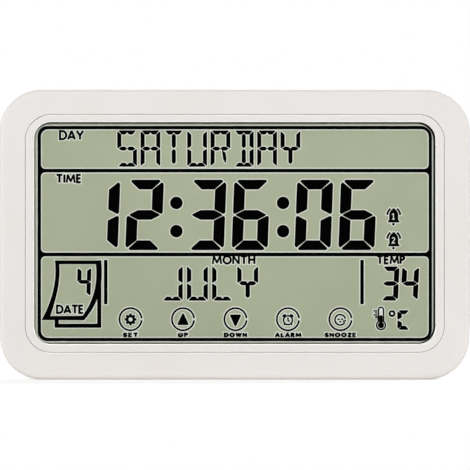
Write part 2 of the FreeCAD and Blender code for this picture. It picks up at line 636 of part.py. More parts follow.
def lcd_frame():
    """Frame behind the display: plate, rim round the glass, ears to the case and posts to the board."""
    outer = (GLASS_W + 2 * (SNUG + RIM_T), GLASS_H + 2 * (SNUG + RIM_T), 2.0, WINDOW_Z)
    inner = (GLASS_W + 2 * SNUG, GLASS_H + 2 * SNUG, 0.7, WINDOW_Z)
    plate = slab(*outer, WALL_Y, FRAME_BACK_Y).cut(slab(*inner, WALL_Y, FRAME_Y))
    ears = [ear(x, z) for x, z in EAR_SPOTS]
    posts = [rod(x, z, POST_R, FRAME_BACK_Y, BOARD_Y) for x, z in POST_SPOTS]
    frame = joined([plate] + ears + posts)
    half = ZEBRA_W / 2 + SNUG / 2
    frame = frame.cut(box(-ZEBRA_L / 2 - SNUG, ZEBRA_L / 2 + SNUG, FRAME_Y, FRAME_BACK_Y,
                          ZEBRA_Z - half, ZEBRA_Z + half))
    notch = TAIL_W / 2 + 1.0
    frame = frame.cut(box(TAIL_X - notch, TAIL_X + notch, WALL_Y, FRAME_BACK_Y,
                          GLASS_BOTTOM - SNUG - RIM_T, GLASS_BOTTOM))
    for x, z in EAR_SPOTS:
        frame = frame.cut(rod(x, z, SMALL_SCREW_R + SHANK_PLAY, FRAME_Y, FRAME_BACK_Y))
    for x, z in POST_SPOTS:
        frame = frame.cut(rod(x, z, SMALL_SCREW_R + SHANK_PLAY, FRAME_Y, BOARD_Y))
    return frame


def zebra_strip():
    """Conductive rubber strip from the glass's ledge, through the frame, to the board."""
    half = ZEBRA_W / 2
    return box(-ZEBRA_L / 2, ZEBRA_L / 2, REAR_GLASS_Y, BOARD_Y, ZEBRA_Z - half, ZEBRA_Z + half)


# ---- board ---------------------------------------------------------------------------------------
def main_board():
    """The circuit board with its four screw holes."""
    board = box(BOARD_LEFT, BOARD_RIGHT, BOARD_Y, BOARD_BACK_Y, BOARD_BOTTOM, BOARD_TOP)
    for x, z in POST_SPOTS:
        board = board.cut(rod(x, z, SMALL_SCREW_R + SHANK_PLAY, BOARD_Y, BOARD_BACK_Y))
    return board


def display_chip():
    """Drop of black resin over the display driver."""
    top = BOARD_BACK_Y + DRIVER_H
    drop = rod(BOARD_SHIFT, BOARD_TOP - DRIVER_DOWN, DRIVER_R, BOARD_BACK_Y, top)
    return round_edges_at(drop, top, DRIVER_H * 0.8)


def touch_chip():
    """Touch controller with two rows of legs."""
    x, z = TAIL_X + TOUCH_CHIP_RIGHT, BOARD_BOTTOM + TOUCH_CHIP_UP
    half_w, half_d = TOUCH_CHIP_W / 2, TOUCH_CHIP_D / 2
    body = box(x - half_w, x + half_w, BOARD_BACK_Y + LEG_W / 4, BOARD_BACK_Y + TOUCH_CHIP_H,
               z - half_d, z + half_d)
    legs = []
    for i in range(LEG_COUNT):
        middle = x + LEG_PITCH * (i - (LEG_COUNT - 1) / 2)
        legs.append(box(middle - LEG_W / 2, middle + LEG_W / 2, BOARD_BACK_Y, BOARD_BACK_Y + LEG_W,
                        z - half_d - LEG_L, z + half_d + LEG_L))
    return joined([body] + legs)


def quartz_crystal():
    """Watch crystal: a small can on its side, with two bent legs."""
    x, z = BOARD_SHIFT - CRYSTAL_LEFT, BOARD_TOP - DRIVER_DOWN
    y = BOARD_BACK_Y + CRYSTAL_R + CRYSTAL_LEG / 3
    half = CRYSTAL_LEG / 2
    pieces = [bar(y, z, CRYSTAL_R, x - CRYSTAL_L, x)]
    for middle in (z - CRYSTAL_R / 2, z + CRYSTAL_R / 2):
        pieces.append(box(x - half, x + CRYSTAL_R, y - half, y + half, middle - half, middle + half))
        pieces.append(box(x + CRYSTAL_R - CRYSTAL_LEG, x + CRYSTAL_R, BOARD_BACK_Y, y + half,
                          middle - half, middle + half))
    return joined(pieces)


def temperature_sensor():
    """Thermistor bead on two legs, behind the vents."""
    y = BOARD_BACK_Y + SENSOR_H
    bead = Part.makeSphere(SENSOR_R, V(VENT_X, y, VENT_Z))
    legs = [rod(VENT_X + side * SENSOR_R / 2, VENT_Z, SENSOR_LEG_R, BOARD_BACK_Y, y) for side in (-1, 1)]
    return joined([bead] + legs)


def board_capacitors():
    """Electrolytic capacitors standing on the board."""
    z = BOARD_BOTTOM + TOUCH_CHIP_UP
    return Part.makeCompound([rod(BOARD_SHIFT - left, z, radius, BOARD_BACK_Y, BOARD_BACK_Y + height)
                              for left, radius, height in CAPACITORS])


def flex_connector():
    """Socket on the board's front that holds the touch film's tail."""
    half = TAIL_W / 2
    back = FRAME_BACK_Y + SNUG
    body = box(TAIL_X - half - SOCKET_WALL, TAIL_X + half + SOCKET_WALL, FRAME_BACK_Y + SNUG / 2, BOARD_Y,
               BOARD_BOTTOM + SOCKET_UP / 2, BOARD_BOTTOM + SOCKET_UP + SOCKET_WALL)
    slot = box(TAIL_X - half - SHANK_PLAY, TAIL_X + half + SHANK_PLAY, back - SHANK_PLAY,
               back + FILM_T + SHANK_PLAY, BOARD_BOTTOM, BOARD_BOTTOM + SOCKET_UP + SHANK_PLAY)
    return body.cut(slot)


def small_screws(spots, seat_y, length):
    """A set of small screws, all driven in from the back."""
    return Part.makeCompound([screw(x, z, seat_y, SMALL_SCREW_R, SMALL_HEAD_R, SMALL_HEAD_H, length)
                              for x, z in spots])


def case_screws():
    """The screws that close the case, down in their wells."""
    length = WELL_FLOOR + CASE_SCREW_BITE
    return Part.makeCompound([screw(x, z, WELL_Y, CASE_SCREW_R, CASE_HEAD_R, CASE_HEAD_H, length)
                              for x, z in CASE_SCREWS])


# ---- sounder -------------------------------------------------------------------------------------
def piezo_plate():
    """Brass disc that lies on the ledge in its ring."""
    return rod(SOUNDER_X, SOUNDER_Z, SOUNDER_R, SOUNDER_Y, SOUNDER_Y + SOUNDER_T)


def piezo_ceramic():
    """Ceramic disc on the brass one."""
    return rod(SOUNDER_X, SOUNDER_Z, CERAMIC_R, CERAMIC_Y, SOUNDER_Y)


def buzzer_leads():
    """The sounder's two wires: one from its ceramic and one from its brass, up to the board."""
    board_z = BOARD_BOTTOM + POST_INSET
    step = CERAMIC_R * 0.3
    wires = []
    for x, z, y in ((SOUNDER_X - step, SOUNDER_Z + step, CERAMIC_Y),
                    (SOUNDER_X, SOUNDER_Z + (CERAMIC_R + SOUNDER_R) / 2, SOUNDER_Y)):
        wires.append(lead([(x, y, z), (x, y - BUZZER_DIP, z), (x - step, BOARD_BACK_Y + LEAD_STAND, board_z),
                           (x - step, BOARD_BACK_Y, board_z)], WIRE_R))
    return Part.makeCompound(wires)


# ---- cells and contacts --------------------------------------------------------------------------
def cell(z, nub_side):
    """A cell along X whose nub points to nub_side (-1 is left)."""
    left = BAY_LEFT + CONTACT_T + (0.0 if nub_side < 0 else SPRING_L)
    right = left + CELL_L
    if nub_side < 0:
        body = bar(CELL_Y, z, CELL_R, left + CELL_NUB_L, right)
        nub = bar(CELL_Y, z, CELL_NUB_R, left, left + CELL_NUB_L)
    else:
        body = bar(CELL_Y, z, CELL_R, left, right - CELL_NUB_L)
        nub = bar(CELL_Y, z, CELL_NUB_R, right - CELL_NUB_L, right)
    rims = [e for e in body.Edges if abs(e.Length - math.pi * CELL_D) < 1e-3]
    return body.makeFillet(0.6, rims).fuse(nub)


def contact_plate(left, z):
    """Square contact plate against an end wall of the bay."""
    half = CONTACT_SIZE / 2
    return box(left, left + CONTACT_T, CELL_Y - half, CELL_Y + half, z - half, z + half)


def solder_tab(z):
    """Tab from a contact plate out through the bay's left wall."""
    return box(BAY_LEFT - BAY_WALL - TAB_REACH, BAY_LEFT + CONTACT_T, CELL_Y, CELL_Y + CONTACT_T,
               z - TAB_W / 2, z + TAB_W / 2)


def spring(z, plate_x, towards):
    """Conical spring wound from the cell's end back to the plate's face at plate_x."""
    length = SPRING_L - SPRING_WIRE_R - SPRING_BITE
    slope = math.degrees(math.atan2(SPRING_BASE_R - SPRING_TIP_R, length))
    coil = Part.makeLongHelix(length / SPRING_TURNS, length, SPRING_TIP_R, slope)
    edge = coil.Edges[0]
    ring = Part.makeCircle(SPRING_WIRE_R, edge.Vertexes[0].Point, edge.tangentAt(edge.FirstParameter))
    wound = Part.Wire(coil.Edges).makePipeShell([Part.Wire(ring)], True, True)
    tip = V(plate_x + towards * (SPRING_L - SPRING_WIRE_R), CELL_Y, z)
    wound.Placement = FreeCAD.Placement(tip, FreeCAD.Rotation(V(0, 0, 1), V(-towards, 0, 0)))
    return wound


def battery_contact_positive():
    """Flat contact for the upper cell's nub."""
    return joined([contact_plate(BAY_LEFT, UPPER_CELL_Z), solder_tab(UPPER_CELL_Z)])


def battery_contact_negative():
    """Spring contact for the lower cell's flat end."""
    coil = spring(LOWER_CELL_Z, BAY_LEFT + CONTACT_T, 1)
    return joined([contact_plate(BAY_LEFT, LOWER_CELL_Z), solder_tab(LOWER_CELL_Z), coil])


def battery_contact_link():
    """The contact that joins both cells: a spring above and a flat below."""
    left = BAY_RIGHT - CONTACT_T
    bridge = box(left, BAY_RIGHT, CELL_Y - TAB_W, CELL_Y + TAB_W, LOWER_CELL_Z, UPPER_CELL_Z)
    plates = [contact_plate(left, LOWER_CELL_Z), contact_plate(left, UPPER_CELL_Z), bridge]
    return joined(plates + [spring(UPPER_CELL_Z, left, -1)])


def battery_lead(z, lane, y):
    """A wire from a solder tab up beside the bay and over to the board; lane 0 is next to the bay."""
    x = BAY_LEFT - BAY_WALL - TAB_REACH * (0.4 + 0.4 * lane)
    high = BAY_TOP + LEAD_RISE * (1 + 0.4 * lane)
    board_x = BOARD_LEFT + 2.4 * POST_INSET
    board_z = BOARD_BOTTOM + POST_INSET * (0.8 + lane)
    return lead([(x, CELL_Y, z), (x, y, z), (x - 0.5, y, high), (board_x, y, board_z),
                 (board_x, BOARD_BACK_Y, board_z)], WIRE_R)


# ---- door ----------------------------------------------------------------------------------------
def battery_door():
    """Cover of the bay, flush with the back, with two tabs under its lower edge."""
    door = slab(DOOR_RIGHT - DOOR_LEFT, DOOR_TOP - DOOR_BOTTOM, DOOR_R, (DOOR_TOP + DOOR_BOTTOM) / 2,
                DOOR_Y, REAR_Y, LATCH_X)
    foot_top = DOOR_Y - DOOR_TAB_STEP
    foot_y = foot_top - DOOR_TAB_T
    pieces = [door]
    for side in (-1, 1):
        x = LATCH_X + side * DOOR_TAB_X
        x0, x1 = x - DOOR_TAB_W / 2, x + DOOR_TAB_W / 2
        pieces.append(box(x0, x1, foot_y, DOOR_Y, DOOR_BOTTOM, DOOR_BOTTOM + DOOR_TAB_ROOT))
        pieces.append(box(x0, x1, foot_y, foot_top, DOOR_BOTTOM - DOOR_TAB_FOOT, DOOR_BOTTOM))
    door = joined(pieces)
    for i in range(GRIP_COUNT):
        z = DOOR_TOP - GRIP_DOWN - GRIP_PITCH * i
        door = door.cut(slab(GRIP_W, GRIP_H, GRIP_H * 0.45, z, REAR_Y - GRIP_DEPTH, REAR_Y, LATCH_X))
    return door


def battery_door_latch():
    """Springy hook over the door: root, bend, thumb tab and the nose that catches the case."""
    x0, x1 = LATCH_X - LATCH_W / 2, LATCH_X + LATCH_W / 2
    bend_y = DOOR_Y - LATCH_REACH
    middle = LATCH_Z + LATCH_T + LATCH_BEND_R
    root = box(x0, x1, bend_y, DOOR_Y, LATCH_Z, LATCH_Z + LATCH_T)
    tip = box(x0, x1, bend_y, REAR_Y - SNUG, middle + LATCH_BEND_R, middle + LATCH_BEND_R + LATCH_T)
    bend = bar(bend_y, middle, LATCH_BEND_R + LATCH_T, x0, x1).cut(bar(bend_y, middle, LATCH_BEND_R, x0, x1))
    bend = bend.cut(box(x0, x1, bend_y, DOOR_Y, LATCH_Z, middle + LATCH_BEND_R + LATCH_T))
    tip_top = middle + LATCH_BEND_R + LATCH_T
    nose_y = REAR_WALL_Y - SLIP
    nose_top = DOOR_TOP + LATCH_SLOT + LATCH_NOSE
    nose = box(x0, x1, nose_y - LATCH_T, nose_y, tip_top - LATCH_T / 2, nose_top)
    return joined([root, bend, tip, nose])


# ---- stand ---------------------------------------------------------------------------------------
def pad_seat(grow):
    """The foot's rubber strip; grow widens it into the groove that holds it."""
    y0 = STAND_IN_Y + 0.3
    low = STAND_FOOT_Z - PAD_PROUD
    half = PAD_L / 2
    return box(-half - grow, half + grow, y0 - grow, y0 + PAD_D + grow, low, low + PAD_H + grow)


def stand_leg():
    """Fold-out leg: a plate with a barrel and two stub pins at its upper end."""
    half = STAND_W / 2
    plate = box(-half, half, STAND_IN_Y, STAND_OUT_Y, STAND_FOOT_Z, STAND_AXIS_Z + STAND_HEEL)
    plate = plate.common(case_form())
    barrel = bar(AXIS_Y, STAND_AXIS_Z, BARREL_R, -half, half)
    pins = bar(AXIS_Y, STAND_AXIS_Z, PIN_R, -RECESS_HALF - PIN_L, RECESS_HALF + PIN_L)
    return joined([plate, barrel, pins]).cut(pad_seat(0.02))


def build():
    """Every piece under its own name."""
    pieces = {
        "front_case": front_case(),
        "rear_case": rear_case(),
        "window_lens": lens_outline(LENS_Y, FILM_Y),
        "lens_gasket": lens_gasket(),
        "touch_film": touch_film(),
        "touch_pads": touch_pads(),
        "lcd_front_polariser": glass_layer(POLARISER_Y, FRONT_GLASS_Y, 0.0),
        "lcd_front_glass": glass_layer(FRONT_GLASS_Y, REAR_GLASS_Y, 0.0),
        "lcd_rear_glass": glass_layer(REAR_GLASS_Y, REFLECTOR_Y, CONTACT_LEDGE),
        "lcd_reflector": glass_layer(REFLECTOR_Y, FRAME_Y, CONTACT_LEDGE),
        "lcd_frame": lcd_frame(),
        "zebra_strip": zebra_strip(),
        "main_board": main_board(),
        "display_chip": display_chip(),
        "touch_chip": touch_chip(),
        "quartz_crystal": quartz_crystal(),
        "temperature_sensor": temperature_sensor(),
        "board_capacitors": board_capacitors(),
        "flex_connector": flex_connector(),
        "frame_screws": small_screws(EAR_SPOTS, FRAME_BACK_Y, FRAME_T + SMALL_SCREW_BITE),
        "board_screws": small_screws(POST_SPOTS, BOARD_BACK_Y, BOARD_T + POST_H + FRAME_T / 2),
        "case_screws": case_screws(),
        "piezo_plate": piezo_plate(),
        "piezo_ceramic": piezo_ceramic(),
        "buzzer_leads": buzzer_leads(),
        "battery_upper": cell(UPPER_CELL_Z, -1),
        "battery_lower": cell(LOWER_CELL_Z, 1),
        "battery_contact_positive": battery_contact_positive(),
        "battery_contact_negative": battery_contact_negative(),
        "battery_contact_link": battery_contact_link(),
        "battery_lead_red": battery_lead(UPPER_CELL_Z, 0, CELL_Y - LEAD_DIP),
        "battery_lead_black": battery_lead(LOWER_CELL_Z, 1, CELL_Y - 0.7 * LEAD_DIP),
        "battery_door": battery_door(),
        "battery_door_latch": battery_door_latch(),
        "stand_leg": stand_leg(),
        "stand_foot_pad": pad_seat(0.0),
    }
    return pieces


def main():
    """Writes each piece to its own STEP file and prints what it is."""
    os.makedirs("parts", exist_ok=True)
    for name, shape in build().items():
        shape.exportStep(os.path.join("parts", name + ".step"))
        limits = shape.BoundBox
        print(f"{name:26s} solids {len(shape.Solids)} valid {shape.isValid()} "
              f"volume {shape.Volume:10.1f} x {limits.XMin:.1f}..{limits.XMax:.1f} "
              f"y {limits.YMin:.2f}..{limits.YMax:.2f} z {limits.ZMin:.1f}..{limits.ZMax:.1f}")


main()
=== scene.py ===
"""Looks of a day clock: moulded white case, clear window, reflective display with its segments and
printed words, and the parts at its back.  Metres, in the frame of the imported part; what the display
shows is in millimetres from the middle of the window."""
import logging
import math
from dataclasses import dataclass
from enum import Enum

import bpy
import numpy as np
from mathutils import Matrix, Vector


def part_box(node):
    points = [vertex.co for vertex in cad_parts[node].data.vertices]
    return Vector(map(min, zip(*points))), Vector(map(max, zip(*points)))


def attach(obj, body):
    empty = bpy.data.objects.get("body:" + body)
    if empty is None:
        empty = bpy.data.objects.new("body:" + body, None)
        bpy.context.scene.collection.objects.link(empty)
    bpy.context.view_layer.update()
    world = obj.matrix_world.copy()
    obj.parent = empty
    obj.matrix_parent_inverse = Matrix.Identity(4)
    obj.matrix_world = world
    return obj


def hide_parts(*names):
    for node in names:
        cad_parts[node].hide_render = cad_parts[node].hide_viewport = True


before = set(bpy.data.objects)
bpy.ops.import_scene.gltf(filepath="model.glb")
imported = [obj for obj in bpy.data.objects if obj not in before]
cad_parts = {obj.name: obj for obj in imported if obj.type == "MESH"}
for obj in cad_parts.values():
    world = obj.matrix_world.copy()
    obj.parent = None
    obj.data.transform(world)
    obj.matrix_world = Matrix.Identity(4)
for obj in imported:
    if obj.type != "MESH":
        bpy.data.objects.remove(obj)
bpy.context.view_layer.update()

MM = 0.001
FRONT_Y = -0.0140  # the clock's front
WHITE = (1.0, 1.0, 1.0, 1.0)
Point = tuple[float, float]
Triple = tuple[float, float, float]
Colour = Triple
Array = np.ndarray
Socket = bpy.types.NodeSocket
log = logging.getLogger("day_clock")


def from_screen(*levels: int) -> Colour:
    """Turns red, green and blue on a screen, 0 to 255, into a linear colour by the sRGB curve."""
    screen = np.array(levels) / 255.0
    return tuple(np.where(screen <= 0.04045, screen / 12.92, ((screen + 0.055) / 1.055) ** 2.4).tolist())


def shade(colour: Colour, factor: float | Triple) -> Colour:
    """Makes a colour lighter or darker by a factor, or by one for each of its parts."""
    return tuple(np.minimum(1.0, np.multiply(colour, factor)).tolist())


def window_middle() -> Point:
    """Gives x and z of the middle of the window."""
    low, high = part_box("window_lens")
    return (low.x + high.x) / 2, (low.z + high.z) / 2


def placed(name: str, data: bpy.types.ID | None, place: Triple = (0.0, 0.0, 0.0)) -> bpy.types.Object:
    """Makes an object and puts it into the scene.

    Args:
        name: Its name.
        data: Its mesh, lamp or camera.
        place: Where it stands.

    Returns:
        The object.
    """
    thing = bpy.data.objects.new(name, data)
    thing.location = place
    bpy.context.scene.collection.objects.link(thing)
    return thing


# ---- materials -------------------------------------------------------------------------------------
class NodeMaker:
    """Makes the nodes of a material or of the world and joins them."""

    def __init__(self, owner: bpy.types.ID) -> None:
        """Empties the nodes of a material or world.

        Args:
            owner: The material or world.
        """
        owner.use_nodes = True
        self.owner = owner
        self.tree = owner.node_tree
        self.tree.nodes.clear()
        places = self.node("TexCoord", {}).outputs
        self.place, self.way = places["Object"], places["Generated"]

    def node(self, kind: str, sockets: dict[str | int, object], **options: object) -> bpy.types.Node:
        """Adds a node.

        Args:
            kind: Blender's name for it, after ShaderNode.
            sockets: What goes into each input: an output is linked, a value is set.
            options: Settings of the node itself.

        Returns:
            The new node.
        """
        node = self.tree.nodes.new("ShaderNode" + kind)
        for name, value in options.items():
            setattr(node, name, value)
        for name, value in sockets.items():
            if isinstance(value, Socket):
                self.tree.links.new(value, node.inputs[name])
            else:
                node.inputs[name].default_value = value
        return node

    def add(self, kind: str, sockets: dict[str | int, object], output: str | int = 0,
            **options: object) -> Socket:
        """Adds a node as node does and gives one of its outputs."""
        return self.node(kind, sockets, **options).outputs[output]

    def noise(self, size: float, detail: float = 2.0, stretch: Triple = (1.0, 1.0, 1.0)) -> Socket:
        """Gives values near 0.5 in soft random patches; a stretch under 1 draws them out along its axis."""
        place = self.add("Mapping", {"Vector": self.place, "Scale": stretch})
        return self.add("TexNoise", {"Vector": place, "Scale": 1.0 / size, "Detail": detail})

    def between(self, value: Socket, low: float, high: float, start: float = 0.3, end: float = 0.7) -> Socket:
        """Carries a value over to another range, so that start gives low and end gives high."""
        sockets = {"Value": value, "From Min": start, "From Max": end, "To Min": low, "To Max": high}
        return self.add("MapRange", sockets)

    def tint(self, value: Socket, stops: list[tuple[float, Colour]], sharp: bool = False) -> Socket:
        """Turns a value into a colour.

        Args:
            value: The value.
            stops: Pairs of a value, rising, and its colour.
            sharp: Steps from one colour to the next instead of fading.

        Returns:
            The colour.
        """
        ramp = self.node("ValToRGB", {"Fac": value})
        if sharp:
            ramp.color_ramp.interpolation = "CONSTANT"
        elements = ramp.color_ramp.elements
        while len(elements) < len(stops):
            elements.new(1.0)
        for element, (position, colour) in zip(elements, stops):
            element.position = position
            element.color = (*colour, 1.0)
        return ramp.outputs[0]

    def done(self, shader: Socket, output: str = "OutputMaterial") -> bpy.types.ID:
        """Joins the shader to the output and gives the material or world."""
        self.node(output, {"Surface": shader})
        return self.owner


@dataclass(frozen=True)
class Finish:
    """A finish with soft colour variation, uneven gloss and a fine surface grain."""

    name: str
    colour: Colour
    variation: float = 0.02  # share by which the colour strays
    cloud: float = 0.030  # width of a patch of colour
    roughness: float = 0.45
    uneven: float = 0.05  # how far the roughness strays
    grain: float = 0.0004  # width of a grain
    depth: float = 0.000004  # height of a grain
    metallic: float = 0.0
    specular: float = 0.5
    coat: float = 0.0
    stretch: Triple = (1.0, 1.0, 1.0)

    def colour_nodes(self, maker: NodeMaker) -> Socket:
        """Makes the colour: patches of a darker and a lighter tone with finer specks on them."""
        dark, light = (shade(self.colour, 1 + way * self.variation) for way in (-1, 1))
        return maker.tint(maker.noise(self.cloud, 4.0, self.stretch), [(0.30, dark), (0.70, light)])

    def height_nodes(self, maker: NodeMaker) -> Socket:
        """Makes the height of the surface grain."""
        return maker.noise(self.grain, 2.0, self.stretch)

    def material(self) -> bpy.types.Material:
        """Makes the material.

        Returns:
            The material.
        """
        maker = NodeMaker(bpy.data.materials.new(self.name))
        patches = maker.noise(self.cloud * 0.4, 3.0, self.stretch)
        relief = {"Height": self.height_nodes(maker), "Distance": self.depth, "Strength": 1.0}
        return maker.done(maker.add("BsdfPrincipled", {
            "Base Color": self.colour_nodes(maker),
            "Roughness": maker.between(patches, self.roughness - self.uneven, self.roughness + self.uneven),
            "Normal": maker.add("Bump", relief),
            "Metallic": self.metallic,
            "Specular IOR Level": self.specular,
            "Coat Weight": self.coat,
        }))


@dataclass(frozen=True)
class MouldedPlastic(Finish):
    """White plastic with the fine spark-eroded texture of its mould, yellower in broad patches."""

    roughness: float = 0.42
    grain: float = 0.00035
    depth: float = 0.000006
    aged: Colour = (1.0, 0.992, 0.975)

    def colour_nodes(self, maker: NodeMaker) -> Socket:
        """Makes the colour: three close tones in broad patches.

        Args:
            maker: The material in the making.

        Returns:
            The colour.
        """
        old = shade(shade(self.colour, self.aged), 1 - self.variation)
        new = shade(self.colour, 1 + self.variation)
        return maker.tint(maker.noise(self.cloud, 5.0), [(0.30, old), (0.5, self.colour), (0.70, new)])

    def height_nodes(self, maker: NodeMaker) -> Socket:
        """Makes the height: rounded cells of the eroded mould plus finer noise between them."""
        cells = maker.add("TexVoronoi", {"Vector": maker.place, "Scale": 1 / self.grain}, "Distance")
        return maker.add("Math", {0: cells, 1: maker.noise(self.grain * 0.6)}, operation="ADD")


@dataclass(frozen=True)
class ClearSheet:
    """A clear sheet: it lets lamps through and mirrors a little, more at a slant."""

    name: str
    ior: float = 1.2
    roughness: float = 0.02
    clear: Colour = (0.985, 0.99, 0.985)
    smear: float = 0.03  # how much rougher its haziest patches are

    def material(self) -> bpy.types.Material:
        """Makes the material.

        Returns:
            The material.
        """
        maker = NodeMaker(bpy.data.materials.new(self.name))
        through = maker.add("BsdfTransparent", {"Color": (*self.clear, 1.0)})
        rough = maker.between(maker.noise(0.02, 4.0), self.roughness, self.roughness + self.smear)
        mirror = maker.add("BsdfGlossy", {"Color": WHITE, "Roughness": rough})
        share = maker.add("Fresnel", {"IOR": self.ior})
        return maker.done(maker.add("MixShader", {0: share, 1: through, 2: mirror}))


@dataclass(frozen=True)
class DisplayFace(Finish):
    """The front film of a reflective display: matt, with the fine sparkle of the foil behind it."""

    variation: float = 0.012
    cloud: float = 0.018
    roughness: float = 0.62
    specular: float = 0.2
    dot: float = 0.0005  # width of a grain of the foil
    sparkle: float = 0.03

    def colour_nodes(self, maker: NodeMaker) -> Socket:
        """Makes the colour: faint clouds times the grain of the foil."""
        dots = maker.between(maker.noise(self.dot, 1.0), 1 - self.sparkle, 1 + self.sparkle)
        return maker.add("VectorMath", {0: super().colour_nodes(maker), "Scale": dots}, operation="SCALE")


@dataclass(frozen=True)
class CircuitBoard(Finish):
    """Solder mask over copper: the tracks show as slightly lighter and raised lines."""

    roughness: float = 0.35
    coat: float = 0.3
    track: float = 0.0024  # from track to track
    edge: Point = (0.42, 0.50)  # where a track begins to rise and where it is at its full height

    def height_nodes(self, maker: NodeMaker) -> Socket:
        """Makes the tracks, the edges of square cells: 1 on a track and 0 between them."""
        cell = {"Vector": maker.place, "Scale": 1 / self.track}
        return maker.between(maker.add("TexVoronoi", cell, "Distance", distance="CHEBYCHEV"), 0, 1, *self.edge)

    def colour_nodes(self, maker: NodeMaker) -> Socket:
        """Makes the colour, lighter on the tracks."""
        return maker.tint(self.height_nodes(maker), [(0.0, self.colour), (1.0, shade(self.colour, 1.6))])


@dataclass(frozen=True)
class CellJacket(Finish):
    """A battery cell: bare steel at both ends and a printed sleeve with one plain band between them."""

    nub: float = 0.0  # x of its raised end
    flat: float = 0.0  # x of its flat end
    band: Colour = (0.02, 0.10, 0.22)
    steel: Colour = (0.62, 0.61, 0.59)

    def colour_nodes(self, maker: NodeMaker) -> Socket:
        """Makes the colour: steps along the cell, from 0 at its raised end to 1 at the flat one.

        Args:
            maker: The material in the making.

        Returns:
            The colour.
        """
        x = maker.add("SeparateXYZ", {"Vector": maker.place})
        tones = self.steel, self.band, self.colour, self.band, self.steel
        stops = list(zip((0.0, 0.045, 0.30, 0.93, 0.975), tones))
        return maker.tint(maker.between(x, 0.0, 1.0, self.nub, self.flat), stops, sharp=True)


# ---- meshes ----------------------------------------------------------------------------------------
class Shell:
    """Points and faces of one mesh, gathered as whole arrays."""

    def __init__(self) -> None:
        """Starts with no points."""
        self.points: list[Array] = []
        self.faces: list[Array] = []
        self.count = 0

    def add(self, points: Array, *faces: Array) -> None:
        """Adds a closed surface.

        Args:
            points: Its points, one a row, in metres.
            faces: Arrays of faces, one a row, counted from the first of these points.
        """
        self.points.append(points)
        self.faces.extend(group + self.count for group in faces)
        self.count += len(points)

    def make(self, name: str, material: bpy.types.Material, slot: str,
             smooth: bool = False) -> bpy.types.Object:
        """Makes the piece from what was gathered and lets it ride on the case.

        Args:
            name: Its name.
            material: Its material.
            slot: The material slot of the part that it belongs to; not used.
            smooth: Shades the faces as one round surface.

        Returns:
            Its object, at the origin.
        """
        mesh = bpy.data.meshes.new(name)
        rows = [row for group in self.faces for row in group.tolist()]
        mesh.from_pydata(np.concatenate(self.points), [], rows)
        mesh.polygons.foreach_set("use_smooth", np.full(len(rows), smooth))
        mesh.materials.append(material)
        piece = placed(name, mesh)
        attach(piece, "case")
        log.info("%s: %d points, %d faces", name, self.count, len(rows))
        return piece


def rounded_outline(corners: Array, radius: float | Array, grow: float = 0.0, steps: int = 5) -> Array:
    """Outline of a flat shape with round corners.

    Each corner that points out becomes an arc about a centre that lies radius inside both its edges,
    of that radius plus grow, so grow moves the whole outline outwards.  A corner that points in stays sharp.

    Args:
        corners: Corners in counter-clockwise order, one a row.
        radius: Radius of the corners, one for all or one for each.
        grow: How far the outline moves outwards.
        steps: Points on each corner.

    Returns:
        Points of the outline, steps for each corner.
    """
    reach = np.broadcast_to(np.asarray(radius, float), len(corners))[:, None]
    edge = np.roll(corners, -1, 0) - corners
    edge = edge / np.linalg.norm(edge, axis=1, keepdims=True)
    after = np.stack([edge[:, 1], -edge[:, 0]], 1)
    before = np.roll(after, 1, 0)
    turn = before[:, 0] * after[:, 1] - before[:, 1] * after[:, 0]
    along = (before * after).sum(1)
    miter = (before + after) / (1 + along)[:, None]
    start, bend = np.arctan2(before[:, 1], before[:, 0]), np.arctan2(turn, along)
    angle = start[:, None] + bend[:, None] * np.linspace(0, 1, steps)
    spokes = (reach + grow)[:, :, None] * np.stack([np.cos(angle), np.sin(angle)], 2)
    arcs = (corners - miter * reach)[:, None, :] + spokes
    sharp = np.repeat((corners + miter * grow)[:, None, :], steps, 1)
    return np.where((turn > 0)[:, None, None], arcs, sharp).reshape(-1, 2)


def rectangle(left: float, right: float, low: float, high: float) -> Array:
    """Gives the four corners of an upright rectangle, counter-clockwise."""
    return np.array([[left, low], [right, low], [right, high], [left, high]])


def flip(corners: Array, axis: int, total: float) -> Array:
    """Mirrors corners along an axis, so that a place and its image add up to total, and keeps the way round."""
    return np.where(np.arange(2) == axis, total - corners, corners)[::-1]


def arc(centre: Point, radii: float | Point, start: float, end: float, count: int = 13) -> Array:
    """Points on an ellipse: centre plus radii times cosine and sine of evenly spaced angles in degrees."""
    angle = np.radians(np.linspace(start, end, count))
    return np.stack([np.cos(angle), np.sin(angle)], 1) * radii + centre


def ring(centre: Point, radii: float | Point, count: int) -> Array:
    """Points all round an ellipse, counter-clockwise."""
    return arc(centre, radii, 0, 360, count + 1)[:-1]


def tube(rows: int, columns: int, closed: bool = True) -> Array:
    """Faces of a section carried along a line, four corners each.

    Args:
        rows: Sections along the line.
        columns: Corners of the section, which come one after the other among the points.
        closed: Joins the last section to the first.

    Returns:
        The faces, counted from the first corner of the first section.
    """
    here, side = np.arange(rows if closed else rows - 1)[:, None] * columns, np.arange(columns)
    there, after = (here + columns) % (rows * columns), (side + 1) % columns
    return np.stack([here + after, there + after, there + side, here + side], -1).reshape(-1, 4)


